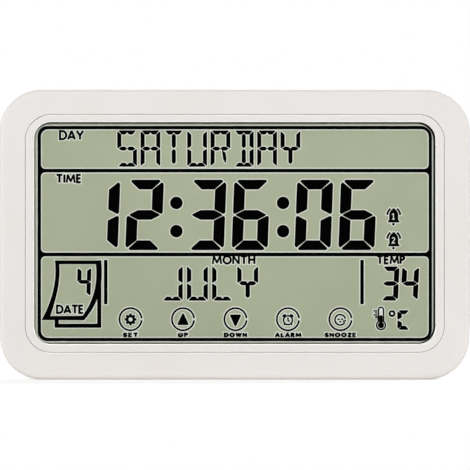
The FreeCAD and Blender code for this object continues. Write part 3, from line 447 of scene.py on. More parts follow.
def stroke_sides(path: Array, half: float, grow: float, closed: bool, broad: float) -> tuple[Array, Array]:
    """Left and right side of a line of even width.

    Each point moves along the mean of the normals of the runs that meet in it, lengthened so that the width
    stays even round a bend, but not past what a bend of about 123 degrees needs.  An open line's ends move
    out by grow.  A broad pen makes upright runs wider and level runs longer.

    Args:
        path: Points of the line's middle.
        half: Half the line's width.
        grow: How far the outline moves outwards.
        closed: Joins the last point to the first.
        broad: Width of an upright run over that of a level one.

    Returns:
        The points of the left side and of the right side.
    """
    path = path.astype(float)
    run = np.roll(path, -1, 0) - path
    run = run / np.maximum(np.linalg.norm(run, axis=1, keepdims=True), 1e-9)
    if not closed:
        run[-1] = run[-2]
    before = np.roll(run, 1, 0)
    if not closed:
        before[0] = run[0]
        path[0] -= run[0] * (grow + half * (broad - 1) * abs(run[0, 0]))
        path[-1] += run[-1] * (grow + half * (broad - 1) * abs(run[-1, 0]))
    way = run + before
    normals = np.stack([-way[:, 1], way[:, 0]], 1)
    least = 0.45  # one plus the cosine of the sharpest bend
    reach = half * np.array([broad, 1.0]) + grow
    side = normals / np.maximum(1 + (run * before).sum(1), least)[:, None] * reach
    return path + side, path - side


class Layer(Enum):
    """The artwork's layers: how far over the display's face each lies, and what it adds to a piece's name."""

    HALO = (0.030, "_rim")
    INK = (0.075, "")
    OPENING = (0.115, "_opening")


class Artwork:
    """Flat marks on the display, each a thin closed plate: black ones, the pale rim that shows round each of
    them, and pale marks on top of the black."""

    stagger = 0.0015  # step in depth between marks that may overlap; artworks differ by a tenth of it
    turns = 12  # marks in a row that differ in depth
    seat = 0.010  # how far the plates sit in the display's face
    margin = 0.05  # least distance of a fan's middle from the lines of the edges
    tries = 200  # most moves in the search for that middle
    past = 1.1  # where a move ends, over the margin
    corner_r = 0.1  # of an upright rectangle
    pale = ((0.0, Layer.OPENING),)

    def __init__(self, spread: float, halo: float, order: int) -> None:
        """Starts empty artwork.

        Args:
            spread: How far the black runs over its drawn outline.
            halo: Width of the pale rim outside the black.
            order: Number of the artwork; no two lie at the same depth.
        """
        self.base = order * self.stagger / 10
        self.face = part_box("lcd_front_polariser")[0].y
        self.middle = window_middle()
        self.black = ((spread + halo, Layer.HALO), (spread, Layer.INK))
        self.shells = {layer: Shell() for layer in Layer}
        self.marks = 0

    def lift(self, outline: Array, height: float) -> Array:
        """Puts flat points in front of the display's face, by a height in millimetres, and gives metres."""
        x, z = outline[..., 0] * MM + self.middle[0], outline[..., 1] * MM + self.middle[1]
        return np.stack([x, np.full_like(x, self.face - height * MM), z], -1)

    def level(self, layer: Layer) -> float:
        """Gives the height of the next mark of a layer."""
        self.marks += 1
        return layer.value[0] + self.base + self.stagger * (self.marks % self.turns)

    def hub(self, outline: Array) -> Array:
        """Finds a point that sees the whole outline, for shapes with a notch.

        From the mean of the outline it moves at right angles off the edge's line that it lies least inside,
        until it is inside all of them by the margin.

        Args:
            outline: Outline, counter-clockwise.

        Returns:
            The point, as one row.
        """
        run = np.roll(outline, -1, 0) - outline
        length = np.linalg.norm(run, axis=1)
        inward = np.stack([-run[:, 1], run[:, 0]], 1) / np.maximum(length, 1e-9)[:, None]
        point = outline.mean(0)
        for _ in range(self.tries):
            inside = np.where(length > 1e-6, ((point - outline) * inward).sum(1), np.inf)
            worst = int(inside.argmin())
            if inside[worst] >= self.margin:
                break
            point = point + inward[worst] * (self.past * self.margin - inside[worst])
        return point[None, :]

    def plate(self, outline: Array, layer: Layer) -> None:
        """Adds a plate whose front and back are fans about a point inside its outline.

        Args:
            outline: Outline, counter-clockwise.
            layer: The layer that it lies in.
        """
        count, centre = len(outline), self.hub(outline)
        depths = self.level(layer), -self.seat
        points = [self.lift(flat, depth) for flat in (outline, centre) for depth in depths]
        here = np.arange(count)
        there = (here + 1) % count
        sides = np.stack([here, here + count, there + count, there], 1)
        front = np.stack([np.full(count, 2 * count), here, there], 1)
        back = np.stack([np.full(count, 2 * count + 1), there + count, here + count], 1)
        self.shells[layer].add(np.concatenate(points), sides, front, back)

    def ribbon(self, left: Array, right: Array, layer: Layer, closed: bool = False) -> None:
        """Adds a plate between two lines: a flat bar's section carried along them.

        Args:
            left: Points of the side on the left of the way.
            right: Points of the other side, as many.
            layer: The layer that it lies in.
            closed: Joins the last points to the first.
        """
        count, high, low = len(left), self.level(layer), -self.seat
        section = (left, high), (right, high), (right, low), (left, low)
        points = np.stack([self.lift(flat, depth) for flat, depth in section], 1)
        ends = np.array([[3, 2, 1, 0], np.arange(4) + 4 * (count - 1)])
        self.shells[layer].add(points.reshape(-1, 3), tube(count, 4, closed), *([] if closed else [ends]))

    def shape(self, corners: Array, radius: float, steps: int = 5) -> None:
        """Adds a black shape with round corners and its pale rim."""
        for grow, layer in self.black:
            self.plate(rounded_outline(corners, radius, grow, steps), layer)

    def box(self, left: float, right: float, low: float, high: float) -> None:
        """Adds a black upright rectangle and its pale rim."""
        self.shape(rectangle(left, right, low, high), self.corner_r, 3)

    def disc(self, centre: Point, radius: float, layers: tuple = ()) -> None:
        """Adds a round mark: black with its pale rim, or in the layers given."""
        for grow, layer in layers or self.black:
            self.plate(ring(centre, radius + grow, 32), layer)

    def line(self, path: Array | tuple, width: float, closed: bool = False, broad: float = 1.0,
             layers: tuple = ()) -> None:
        """Adds a line of even width.

        Args:
            path: Points of its middle.
            width: Its width.
            closed: Joins the last point to the first.
            broad: Width of an upright run over that of a level one.
            layers: Layers with their growth, if it isn't black with its pale rim.
        """
        for grow, layer in layers or self.black:
            self.ribbon(*stroke_sides(np.array(path), width / 2, grow, closed, broad), layer, closed)

    def band(self, left: Array, right: Array) -> None:
        """Adds a black band between two lines, whose rim stands out at both sides and ends.

        Args:
            left: Points of the side on the left of the way.
            right: Points of the other side, as many.
        """
        across = left - right
        across = across / np.linalg.norm(across, axis=1, keepdims=True)
        along, way = np.zeros_like(across), left + right
        along[[0, -1]] = way[0] - way[1], way[-1] - way[-2]
        along[[0, -1]] /= np.linalg.norm(along[[0, -1]], axis=1, keepdims=True)
        for grow, layer in self.black:
            self.ribbon(left + (across + along) * grow, right + (along - across) * grow, layer)

    def make(self, name: str, finishes: dict[Layer, bpy.types.Material]) -> bpy.types.Object:
        """Makes one piece for each layer that has marks.

        Args:
            name: Name of the black piece, to which the others add their layer's.
            finishes: The material of each layer.

        Returns:
            The black piece.
        """
        made = {layer: shell.make(name + layer.value[1], finishes[layer], "display_face")
                for layer, shell in self.shells.items() if shell.points}
        return made[Layer.INK]


# ---- lettering -------------------------------------------------------------------------------------
class Letter:
    """The lines of each capital, one unit high."""

    closed = "DO"
    sharp = "AMNWYZ"  # each run is a line of its own, because the bends are sharp
    bowl = np.concatenate([[(0, 1)], arc((0.20, 0.75), (0.26, 0.25), 90, -90), [(0, 0.5)]])
    stem = ((0, 0), (0, 1))
    capitals = {
        "A": [((0, 0), (0.40, 1), (0.80, 0)), ((0.11, 0.25), (0.69, 0.25))],
        "D": [np.concatenate([stem, arc((0.26, 0.5), (0.48, 0.5), 90, -90, 17)])[::-1]],
        "E": [((0.44, 1), (0, 1), (0, 0), (0.44, 0)), ((0, 0.52), (0.40, 0.52))],
        "H": [stem, ((0.66, 0), (0.66, 1)), ((0, 0.52), (0.66, 0.52))],
        "I": [stem],
        "L": [((0, 1), (0, 0), (0.44, 0))],
        "M": [((0, 0), (0.13, 1), (0.52, 0.12), (0.91, 1), (1.04, 0))],
        "N": [((0, 0), (0, 1), (0.70, 0), (0.70, 1))],
        "O": [ring((0.45, 0.5), (0.45, 0.5), 28)],
        "P": [bowl, stem],
        "R": [bowl, stem, ((0.22, 0.5), (0.52, 0))],
        "S": [np.concatenate([arc((0.25, 0.75), 0.25, 25, 262), arc((0.25, 0.25), 0.25, 82, -155)])],
        "T": [((0, 1), (0.68, 1)), ((0.34, 1), (0.34, 0))],
        "U": [np.concatenate([[(0, 1)], arc((0.24, 0.26), (0.24, 0.26), 180, 270, 7),
                              arc((0.40, 0.26), (0.24, 0.26), 270, 360, 7), [(0.64, 1)]])],
        "W": [((0, 1), (0.27, 0), (0.55, 1), (0.83, 0), (1.10, 1))],
        "Y": [((0, 1), (0.37, 0.45), (0.74, 1)), ((0.37, 0.48), (0.37, 0))],
        "Z": [((0, 1), (0.60, 1), (0, 0), (0.60, 0))],
    }

    @classmethod
    def lines(cls, letter: str) -> tuple[float, list[Array]]:
        """Gives a capital's width, to a hundredth, and its lines.

        Args:
            letter: The capital.

        Returns:
            The width of the middles of its lines and the points of each.
        """
        lines = [np.array(points, float) for points in cls.capitals[letter]]
        width = round(max(float(points[:, 0].max()) for points in lines), 2)
        if letter in cls.sharp:
            lines = [np.array(run) for points in lines for run in zip(points, points[1:])]
        return width, lines


@dataclass(frozen=True)
class Word:
    """A word in plain capitals that fills a box."""

    text: str
    left: float
    right: float
    low: float
    high: float
    stroke: float  # width of a line
    space: float  # between the lines of two letters, over the width of a line
    broad: float = 1.0  # width of an upright line over that of a level one
    fine: float = 1.0  # level lines of the letters that have three of them, over those of the others
    crowded: float = 0.84  # lines of the letters with slanted ones close together, over those of the others
    three_levels = "AEPRS"
    slanted = "MNW"

    def draw(self, art: Artwork) -> None:
        """Draws the word: each letter's lines scaled to the box less the width of a line.

        Args:
            art: The artwork.
        """
        upright = self.stroke * self.broad
        gap = self.space + upright / (self.high - self.low - self.stroke)
        units = sum(Letter.lines(letter)[0] for letter in self.text) + gap * (len(self.text) - 1)
        scale = (self.right - self.left - upright) / units
        pen = self.left + upright / 2
        for letter in self.text:
            width, lines = Letter.lines(letter)
            slanted = letter in self.slanted
            share = self.crowded if slanted else self.fine if letter in self.three_levels else 1.0
            level = self.stroke * share
            size, corner = (scale, self.high - self.low - level), (pen, self.low + level / 2)
            for points in lines:
                broad = self.broad if slanted else upright / level
                art.line(points * size + corner, level, letter in Letter.closed, broad)
            pen += (width + gap) * scale


class Bars:
    """A character made of bars.  Its kind has the bars of each of its characters, works out their corners,
    and says how high a character is, how it leans and how round its corners are."""

    characters: dict[str, str]
    height: float
    lean: float
    radius: float

    def bars(self) -> dict[str, Array]:
        """Works out the corners of each bar; every kind has its own."""
        raise NotImplementedError

    def draw(self, art: Artwork, text: str, lefts: tuple[float, ...] | Array, low: float = 0.0) -> None:
        """Draws characters; each point leans by its height over the middle.

        Args:
            art: The artwork.
            text: The digits or capitals.
            lefts: The left side of each at half height.
            low: Their lower edge, where their bars count from there.
        """
        bars = self.bars()
        for character, left in zip(text, lefts):
            for name in self.characters[character]:
                lean = self.lean * (bars[name][:, 1:] - self.height / 2)
                art.shape(bars[name] + lean * (1.0, 0.0) + (left, low), self.radius)


@dataclass(frozen=True)
class SevenSegment(Bars):
    """A digit of seven bars, leaning a little to the right."""

    width: float
    height: float
    upright: float  # thickness of an upright bar
    level: float  # thickness of a level bar
    gap: float  # between bars in the middle
    radius: float
    lean: float
    corner_gap: float  # between bars in the corners
    tip: float = 0.14  # from the side to the middle bar's points, over a level bar's thickness
    characters = {"0": "abcdef", "1": "bc", "2": "abged", "3": "abcdg", "4": "fgbc", "6": "acdefg", "C": "adef"}

    def bars(self) -> dict[str, Array]:
        """Works out the corners of the seven bars, which meet on mitres between the outer and inner corners.
        Where a bar's end is blunted, its corners lie at shares of the bars' thickness.

        Returns:
            The corners of each bar, counter-clockwise, from the lower left of an unleaned digit.
        """
        w, h, v, t = self.width, self.height, self.upright, self.level
        mid, slant = h / 2, math.hypot(v, t)
        dx, dz = self.corner_gap / 2 * slant / t, self.corner_gap / 2 * slant / v
        rise, tip = mid + self.gap / 2, self.tip * t + self.gap / 2
        inner = v + tip * 0.25
        a = np.array([[w - dx - 0.28 * v, h], [dx + 0.28 * v, h], [dx + 0.13 * v, h - 0.13 * t],
                      [v + dx * 0.5, h - t], [w - v - dx * 0.5, h - t], [w - dx - 0.13 * v, h - 0.13 * t]])
        b = np.array([[w, rise + 0.16 * t], [w, h - dz - 0.34 * t], [w - 0.12 * v, h - dz - 0.10 * t],
                      [w - v, h - t - dz * 0.5], [w - v, mid + t / 2 + self.gap * 0.62],
                      [w - 0.13 * v, rise + 0.02 * t]])
        g = np.array([[tip, mid], [inner, mid - t / 2], [w - inner, mid - t / 2],
                      [w - tip, mid], [w - inner, mid + t / 2], [inner, mid + t / 2]])
        f = flip(b, 0, w)
        return {"a": a, "b": b, "c": flip(b, 1, h), "d": flip(a, 1, h), "e": flip(f, 1, h), "f": f, "g": g}


@dataclass(frozen=True)
class LetterSegment(Bars):
    """A letter of fourteen bars: level bars notched in the middle, uprights, centre stems and short bars."""

    width: float
    low: float  # lower end of the lower uprights
    high: float  # upper end of the upper uprights
    upright: float  # thickness of an upright
    level: float  # thickness of a level bar
    middle: float  # thickness of the two short bars
    inset: float  # from the side to the end of a level bar
    short_inset: float = 0.80  # from the side to the tip of a short bar
    bar_out: float = 0.64  # how far the level bars stand out over the uprights
    gap: float = 0.64
    radius: float = 0.06
    reach: float = 0.26  # how far the uprights' outer corners stand up beside the level bars
    notch: Point = (0.95, 1.10)  # half width and depth of the notch in a level bar
    taper: Point = (1.08, 0.83)  # length of a short bar's outer and inner point
    short_end: float = 0.13  # how far a short bar's inner tip reaches into the gap
    stem_taper: Point = (0.78, 0.75)  # length of a stem's outer and inner point
    stem_ends: Point = (0.06, 0.05)  # how far its tips stand up over the level bar's edge and the gap
    stem_foot: float = 0.25  # how much lower the lower stem of T and Y ends
    leg = ((0.60, -1.0), (0.665, -5.2), (0.77, -6.8), (0.80, -4.3), (0.745, -2.0))  # R's, from mid height
    lean = height = 0.0
    characters = {"S": "afghcd", "A": "afbghec", "T": "ail", "U": "fbecd", "R": "afbghek", "D": "adijbc",
                  "Y": "fbghl", "J": "bcd", "L": "fed"}

    def bars(self) -> dict[str, Array]:
        """Works out the corners of the bars.

        Returns:
            The corners of each bar, counter-clockwise, from the letter's left side.
        """
        w, v, n, half = self.width, self.upright, self.inset, self.gap / 2
        mid, top, centre = (self.low + self.high) / 2, self.high + self.bar_out, self.width / 2
        cut, foot, thick = v * 0.82, top - self.level, self.middle / 2
        notch_w, notch_h = self.notch
        a = np.array([[w - n, top], [n, top], [n + cut, foot], [centre - notch_w, foot],
                      [centre, foot + notch_h], [centre + notch_w, foot], [w - n - cut, foot]])
        f = np.array([[0, self.high + self.reach], [0, mid + half], [v, mid + half + v * 0.60],
                      [v, self.high - 0.75 * v]])
        tip, end = self.short_inset, centre - half + self.short_end
        start, stop = tip + self.taper[0], end - self.taper[1]
        g = np.array([[tip, mid], [start, mid - thick], [stop, mid - thick],
                      [end, mid], [stop, mid + thick], [start, mid + thick]])
        peak, rise = foot + self.stem_ends[0], mid + half + self.stem_ends[1]
        left, right = centre - v / 2, centre + v / 2
        upper, lower = peak - self.stem_taper[0], rise + self.stem_taper[1]
        i = np.array([[centre, peak], [left, upper], [left, lower],
                      [centre, rise], [right, lower], [right, upper]])
        b, e, j = flip(f, 0, w), flip(f, 1, 2 * mid), flip(i, 1, 2 * mid)
        free = j - np.where(j[:, 1:] < (mid + self.low) / 2, self.stem_foot, 0.0) * (0.0, 1.0)
        return {"a": a, "b": b, "c": flip(b, 1, 2 * mid), "d": flip(a, 1, 2 * mid), "e": e, "f": f, "g": g,
                "h": flip(g, 0, w), "i": i, "j": j, "k": np.array(self.leg) * (w, 1.0) + (0.0, mid), "l": free}


# ---- the display -----------------------------------------------------------------------------------
@dataclass
class Panels:
    """The black border of the display and its three panels."""

    left: float = -93.77
    right: float = 93.79
    low: float = -51.44
    high: float = 50.82
    line: float = 1.31
    side: float = 1.23  # line along the right side
    foot: float = 1.26  # line along the bottom
    upper: Point = (28.98, 30.36)  # line between day and time
    lower: Point = (-11.02, -9.56)  # line between time and date
    outer_r: float = 4.50
    right_r: float = 5.30  # outer corners at the right
    inner_r: float = 3.60
    panel_r: float = 2.20
    square: float = 0.02  # corners where panels meet
    steps: int = 9  # points on each corner
    rule_x: Point = (-61.48, 60.65)  # upright rules beside the month
    rule_z: Point = (-33.85, -13.00)
    rule_w: float = 1.35

    def draw(self, art: Artwork) -> None:
        """Draws each panel's border as a ring between two rectangles with round corners, and the rules.

        Args:
            art: The artwork.
        """
        seam_up, seam_low, flat = sum(self.upper) / 2, sum(self.lower) / 2, (self.square, self.square)
        rows = (
            (seam_up, self.high, self.upper[1], self.high - self.line, (*flat, self.right_r, self.outer_r)),
            (seam_low, seam_up, self.lower[1], self.upper[0], flat * 2),
            (self.low, seam_low, self.low + self.foot, self.lower[0], (self.outer_r, self.right_r, *flat)),
        )
        for low, high, inner_low, inner_high, radii in rows:
            outside = rectangle(self.left, self.right, low, high)
            inside = rectangle(self.left + self.line, self.right - self.side, inner_low, inner_high)
            inner = np.where(np.array(radii) > self.square, self.inner_r, self.panel_r)
            for grow, layer in art.black:
                art.ribbon(rounded_outline(inside, inner, -grow, self.steps),
                           rounded_outline(outside, radii, grow, self.steps), layer, True)
        for x in self.rule_x:
            art.box(x - self.rule_w / 2, x + self.rule_w / 2, *self.rule_z)


@dataclass(frozen=True)
class LetterRow:
    """A word in large letters and its title."""

    text: str
    left: float
    pitch: float
    letters: LetterSegment
    title: Word

    def draw(self, art: Artwork) -> None:
        """Draws the letters, each a pitch from the last, and the title."""
        self.letters.draw(art, self.text, self.left + self.pitch * np.arange(len(self.text)))
        self.title.draw(art)


@dataclass
class TimeRow:
    """Hours, minutes and seconds in the largest digits, with their colons."""

    digits: SevenSegment = SevenSegment(16.92, 33.25, 5.02, 4.34, 0.90, 0.34, 0.038, 1.02)
    text: str = "123606"
    lefts: tuple[float, ...] = (-72.18, -51.41, -21.60, -0.74, 29.23, 50.13)
    low: float = -8.06
    dot_x: Point = (-27.82, 23.04)
    dot_z: Point = (0.81, 14.28)
    dot_r: float = 2.85
    title: Word = Word("TIME", -85.15, -73.15, 23.75, 28.00, 0.76, 0.10)

    def draw(self, art: Artwork) -> None:
        """Draws the digits, the dots and the title.

        Args:
            art: The artwork.
        """
        self.digits.draw(art, self.text, self.lefts, self.low)
        for x in self.dot_x:
            for z in self.dot_z:
                art.disc((x, z), self.dot_r)
        self.title.draw(art)


@dataclass
class AlarmBells:
    """Two small bells, numbered, at the end of the time row."""

    x: float = 75.75
    feet: Point = (5.14, -6.24)
    size: Point = (2.66, 6.42)  # half width and height
    line: float = 0.58
    number_line: float = 0.40
    corner_r: float = 0.12
    sound: Point = (3.13, 4.02)  # half width and height of the sound lines' ellipse
    sound_z: float = 2.9  # its middle over the foot
    sound_arcs: tuple[Point, Point] = ((10, 57), (123, 170))  # in degrees
    clapper: Triple = (-0.15, -1.02, 0.45)  # aside, over the foot, and radius
    right_side = ((1.0, 0.0), (0.98, 0.05), (0.76, 0.15), (0.74, 0.25), (0.73, 0.60), (0.61, 0.75),
                  (0.43, 0.86), (0.20, 0.93), (0.13, 1.0))
    numbers = ((((-0.80, 3.6), (-0.15, 4.0), (-0.15, 1.4)), ((-0.80, 1.4), (0.50, 1.4))),
               (np.concatenate([arc((-0.15, 3.35), 0.65, 165, -30, 9), [(-0.80, 1.4), (0.60, 1.4)]]),))

    def draw(self, art: Artwork) -> None:
        """Draws each bell: its outline, a sound line at each side, the clapper and its number.

        Args:
            art: The artwork.
        """
        side = np.array(self.right_side) * self.size
        outline = np.concatenate([side, side[::-1] * (-1, 1)])
        aside, down, radius = self.clapper
        for foot, number in zip(self.feet, self.numbers):
            place = np.array([self.x, foot])
            art.shape(outline + place, self.corner_r, 3)
            for start, end in self.sound_arcs:
                art.line(arc((self.x, foot + self.sound_z), self.sound, start, end, 9), self.line)
            art.disc(place + (aside, down), radius)
            for points in number:
                art.line(points + place, self.number_line, layers=art.pale)


@dataclass
class DateLeaf:
    """The date on a loose leaf of a tear-off pad, with the next leaf behind it."""

    outer = (((-85.62, -13.24), (-85.29, -18.47), (-85.72, -24.19), (-86.95, -29.90), (-89.12, -35.56),
              (-91.85, -41.47)),
             ((-63.77, -13.24), (-63.60, -20.00), (-64.10, -26.00), (-65.42, -30.57), (-67.45, -35.14),
              (-71.87, -41.47)))  # left and right edge
    inner = (((-83.72, -14.85), (-83.57, -19.62), (-84.10, -24.19), (-85.38, -30.99), (-88.00, -39.66)),
             ((-66.06, -14.85), (-65.72, -19.62), (-66.33, -25.33), (-68.20, -32.14), (-69.98, -36.00),
              (-72.45, -39.66)))
    back_leaf: tuple[float, ...] = (-85.62, -63.77, -45.04, -41.47)  # left, right, foot, top of its left bar
    bar: float = 1.58
    digits: SevenSegment = SevenSegment(6.21, 13.64, 1.62, 1.50, 0.70, 0.10, 0.03, 0.64)
    date_at: Point = (-74.91, -30.14)
    title: Word = Word("DATE", -85.01, -72.15, -38.47, -34.33, 0.66, 0.06)

    @staticmethod
    def curve(points: tuple[Point, ...]) -> Array:
        """Gives x as the cubic of z that passes nearest to some points, at 21 even heights between the ends.

        Args:
            points: The points, from the top down.

        Returns:
            Points of the curve.
        """
        x, known = np.array(points).T
        z = np.linspace(known[0], known[-1], 21)
        return np.stack([np.polyval(np.polyfit(known, x, 3), z), z], 1)

    def draw(self, art: Artwork) -> None:
        """Draws the leaf's four sides, the bars of the leaf behind, the date and the title.

        Args:
            art: The artwork.
        """
        outer, inner = (np.stack([self.curve(edge) for edge in edges]) for edges in (self.outer, self.inner))
        art.band(inner[0], outer[0])
        art.band(outer[1], inner[1])
        art.band(outer[:, 0], inner[:, 0])
        art.band(inner[:, -1], outer[:, -1])
        x0, x1, z0, z1 = self.back_leaf
        art.box(x1 - self.bar, x1, z0, outer[0, 0, 1])
        art.box(x0, x1, z0, z0 + self.bar)
        art.box(x0, x0 + self.bar, z0, z1)
        self.digits.draw(art, "4", self.date_at[:1], self.date_at[1])
        self.title.draw(art)


@dataclass
class TemperatureField:
    """Degrees, the sign for Celsius and a small thermometer."""

    digits: SevenSegment = SevenSegment(7.83, 15.92, 2.12, 1.86, 0.80, 0.12, 0.047, 0.74)
    unit: SevenSegment = SevenSegment(5.70, 9.06, 1.80, 1.60, 0.72, 0.08, 0.0, 0.66)
    text: str = "34"
    lefts: Point = (70.13, 79.56)
    low: float = -32.09
    unit_at: Point = (77.62, -46.04)
    ring: tuple[Point, float, float] = ((74.92, -38.44), 1.15, 0.66)  # degree sign: middle, radius and line
    bulb: Point = (69.68, -43.99)
    bulb_r: float = 2.12
    tube_half: float = 1.22
    tube_top: float = -35.42
    tube_back: float = 4.2  # half the height of the pale ground in the tube
    column: Triple = (1.33, 0.62, -39.52)  # radius of its ball, half its width and its top
    outline: float = 0.38
    mark_line: float = 0.36
    marks: tuple[Point, ...] = ((-3.45, -37.15), (-2.75, -38.15), (-3.45, -39.15), (-2.75, -40.15))
    mark_end: float = -2.0
    title: Word = Word("TEMP", 67.60, 81.05, -14.90, -10.75, 0.73, 0.10)

    def draw(self, art: Artwork) -> None:
        """Draws the digits, the unit, the thermometer with its marks and the title.

        Args:
            art: The artwork.
        """
        self.digits.draw(art, self.text, self.lefts, self.low)
        self.unit.draw(art, "C", self.unit_at[:1], self.unit_at[1])
        middle, radius, width = self.ring
        art.line(ring(middle, radius, 24), width, True)
        x, z = self.bulb
        half, (ball, column, top) = self.tube_half, self.column
        neck = math.degrees(math.acos(half / self.bulb_r))
        art.plate(ring((x, (z + self.tube_top) / 2), (half, self.tube_back), 24), Layer.HALO)
        art.line(np.concatenate([arc(self.bulb, self.bulb_r, 180 - neck, 360 + neck, 25),
                                 arc((x, self.tube_top - half), half, 0, 180)]), self.outline, True)
        art.disc(self.bulb, ball)
        art.box(x - column, x + column, z, top)
        for start, high in self.marks:
            art.line([(x + start, high), (x + self.mark_end, high)], self.mark_line)
        self.title.draw(art)


@dataclass
class TouchKeys:
    """Five rings with their signs and names, where the touch film is sensitive."""

    pitch: float = 25.0
    shift: float = 0.35
    level: float = -41.13
    ring_r: float = 5.28
    line: float = 0.61
    thin: float = 0.48  # width of most lines of the signs
    words: tuple = (("SET", -53.15, -46.05), ("UP", -27.02, -22.26), ("DOWN", -5.12, 5.83),
                    ("ALARM", 19.16, 31.78), ("SNOOZE", 42.97, 57.73))
    lettering: tuple[float, ...] = (-49.62, -47.62, 0.51, 0.06, 1.38, 0.66)  # from a Word's low to its fine
    ups: tuple[float, ...] = (-0.1, 0.05, -0.60, -0.45, 0.0)  # middle of each sign over that of its key
    gear_sizes: Triple = (2.42, 0.34, 0.98)  # mean radius, half a tooth's height, and the hole's radius
    triangle = ((-2.68, -2.72), (2.68, -2.72), (0.0, 3.12))
    tip_r: float = 0.35  # radius of the triangle's corners
    clock_r: float = 2.14
    bells: tuple[float, ...] = (2.95, 16.0, 0.66)  # radius, degrees to each side of the middle, and line
    bell_ways: Point = (50.0, 130.0)  # in degrees; the feet stand opposite
    feet: Point = (2.2, 2.9)  # radii of their ends
    hands = ((0.0, 1.2), (0.0, 0.0), (0.7, -0.7))
    face: tuple[float, ...] = (-0.1, -0.28, 2.5, 0.51)  # sleeper's outline: middle, radius and line
    features = ((((-1.27, 0.0), (-0.43, 0.0)), 0.45), (((0.33, 0.0), (1.17, 0.0)), 0.45),
                (((-0.4, -1.2), (0.3, -1.2)), 0.48), (((1.3, -1.1), (2.5, -0.6)), 0.54))  # eyes, mouth, breath

    def middle(self, index: int, up: float = 0.0) -> Array:
        """Gives the middle of a key, counted from the left, or a point over it."""
        return np.array([self.pitch * (index - 2) + self.shift, self.level + up])

    def gear(self, art: Artwork, middle: Array) -> None:
        """Draws a wheel of eight teeth: its radius is the mean one plus half a tooth's height times a steep
        wave, the hyperbolic tangent of 3 times the cosine of 8 times the angle, plus 0.5.

        Args:
            art: The artwork.
            middle: Its middle.
        """
        mean, tooth, hole = self.gear_sizes
        angle = np.linspace(0, 2 * np.pi, 97)[:-1]
        for grow, layer in art.black:
            radius = mean + tooth * np.tanh(3 * np.cos(8 * angle) + 0.5) + grow
            art.plate(np.stack([radius * np.cos(angle), radius * np.sin(angle)], 1) + middle, layer)
        art.disc(middle, hole, art.pale)

    def alarm_clock(self, art: Artwork, middle: Array) -> None:
        """Draws a round clock with two bells, feet and hands.

        Args:
            art: The artwork.
            middle: Its middle.
        """
        art.line(ring(middle, self.clock_r, 28), self.thin, True)
        radius, half, width = self.bells
        for angle in self.bell_ways:
            art.line(arc(middle, radius, angle - half, angle + half, 7), width)
            turn = math.radians(angle)
            art.line(np.outer(self.feet, (math.cos(turn), -math.sin(turn))) + middle, self.thin)
        art.line(middle + self.hands, self.thin)

    def sleeper(self, art: Artwork, middle: Array) -> None:
        """Draws a plain round face asleep, open at its right.

        Args:
            art: The artwork.
            middle: The middle between its eyes.
        """
        x, z, radius, width = self.face
        art.line(arc(middle + (x, z), radius, 14, 328, 31), width)
        for ends, width in self.features:
            art.line(middle + ends, width)

    def draw(self, art: Artwork) -> None:
        """Draws the rings and names, then the five signs: wheel, triangles up and down, clock and sleeper.

        Args:
            art: The artwork.
        """
        for index, (text, left, right) in enumerate(self.words):
            art.line(arc(self.middle(index), self.ring_r, 7.0, 353.0, 61), self.line)
            Word(text, left, right, *self.lettering).draw(art)
        wheel, up, down, clock, face = (self.middle(index, rise) for index, rise in enumerate(self.ups))
        self.gear(art, wheel)
        triangle = np.array(self.triangle)
        art.shape(triangle + up, self.tip_r)
        art.shape((triangle * (1, -1))[::-1] + down, self.tip_r)
        self.alarm_clock(art, clock)
        self.sleeper(art, face)


@dataclass
class Display:
    """Everything that the display shows, on the front of its film."""

    rim: Finish = Finish("display_rim", from_screen(243, 246, 236), 0.02, 0.010, 0.6, specular=0.1)
    ink: Finish = Finish("display_black", (0.0010, 0.0014, 0.0011), 0.25, 0.004, 0.5, specular=0.0)
    opening: Finish = Finish("display_opening", from_screen(243, 246, 238), 0.02, 0.010, 0.6, specular=0.1)
    day: LetterRow = LetterRow(
        "SATURDAY", -55.82, 11.115, LetterSegment(9.08, 32.37, 47.94, 1.62, 1.54, 1.54, 0.72),
        Word("DAY", -83.6, -71.9, 44.30, 48.85, 0.72, 0.05))
    month: LetterRow = LetterRow(
        "JULY", -34.62, 11.99, LetterSegment(9.66, -31.47, -16.47, 1.75, 1.57, 1.66, 0.78, 0.92),
        Word("MONTH", -10.80, 9.70, -14.95, -10.75, 0.70, 0.10))

    def build(self) -> None:
        """Makes the pieces, group by group, each with its spread and the width of its rim."""
        finishes = dict(zip(Layer, (finish.material() for finish in (self.rim, self.ink, self.opening))))
        groups = (("display_border", Panels(), 0.18, 0.51), ("day_letters", self.day, 0.20, 0.41),
                  ("time_digits", TimeRow(), 0.18, 0.44), ("alarm_bells", AlarmBells(), 0.20, 0.42),
                  ("date_leaf", DateLeaf(), 0.21, 0.43), ("month_letters", self.month, 0.20, 0.43),
                  ("temperature", TemperatureField(), 0.19, 0.42), ("touch_keys", TouchKeys(), 0.15, 0.50))
        for order, (name, group, spread, halo) in enumerate(groups):
            art = Artwork(spread, halo, order)
            group.draw(art)
            piece = art.make(name, finishes)
            if name == "touch_keys":
                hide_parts("touch_pads")


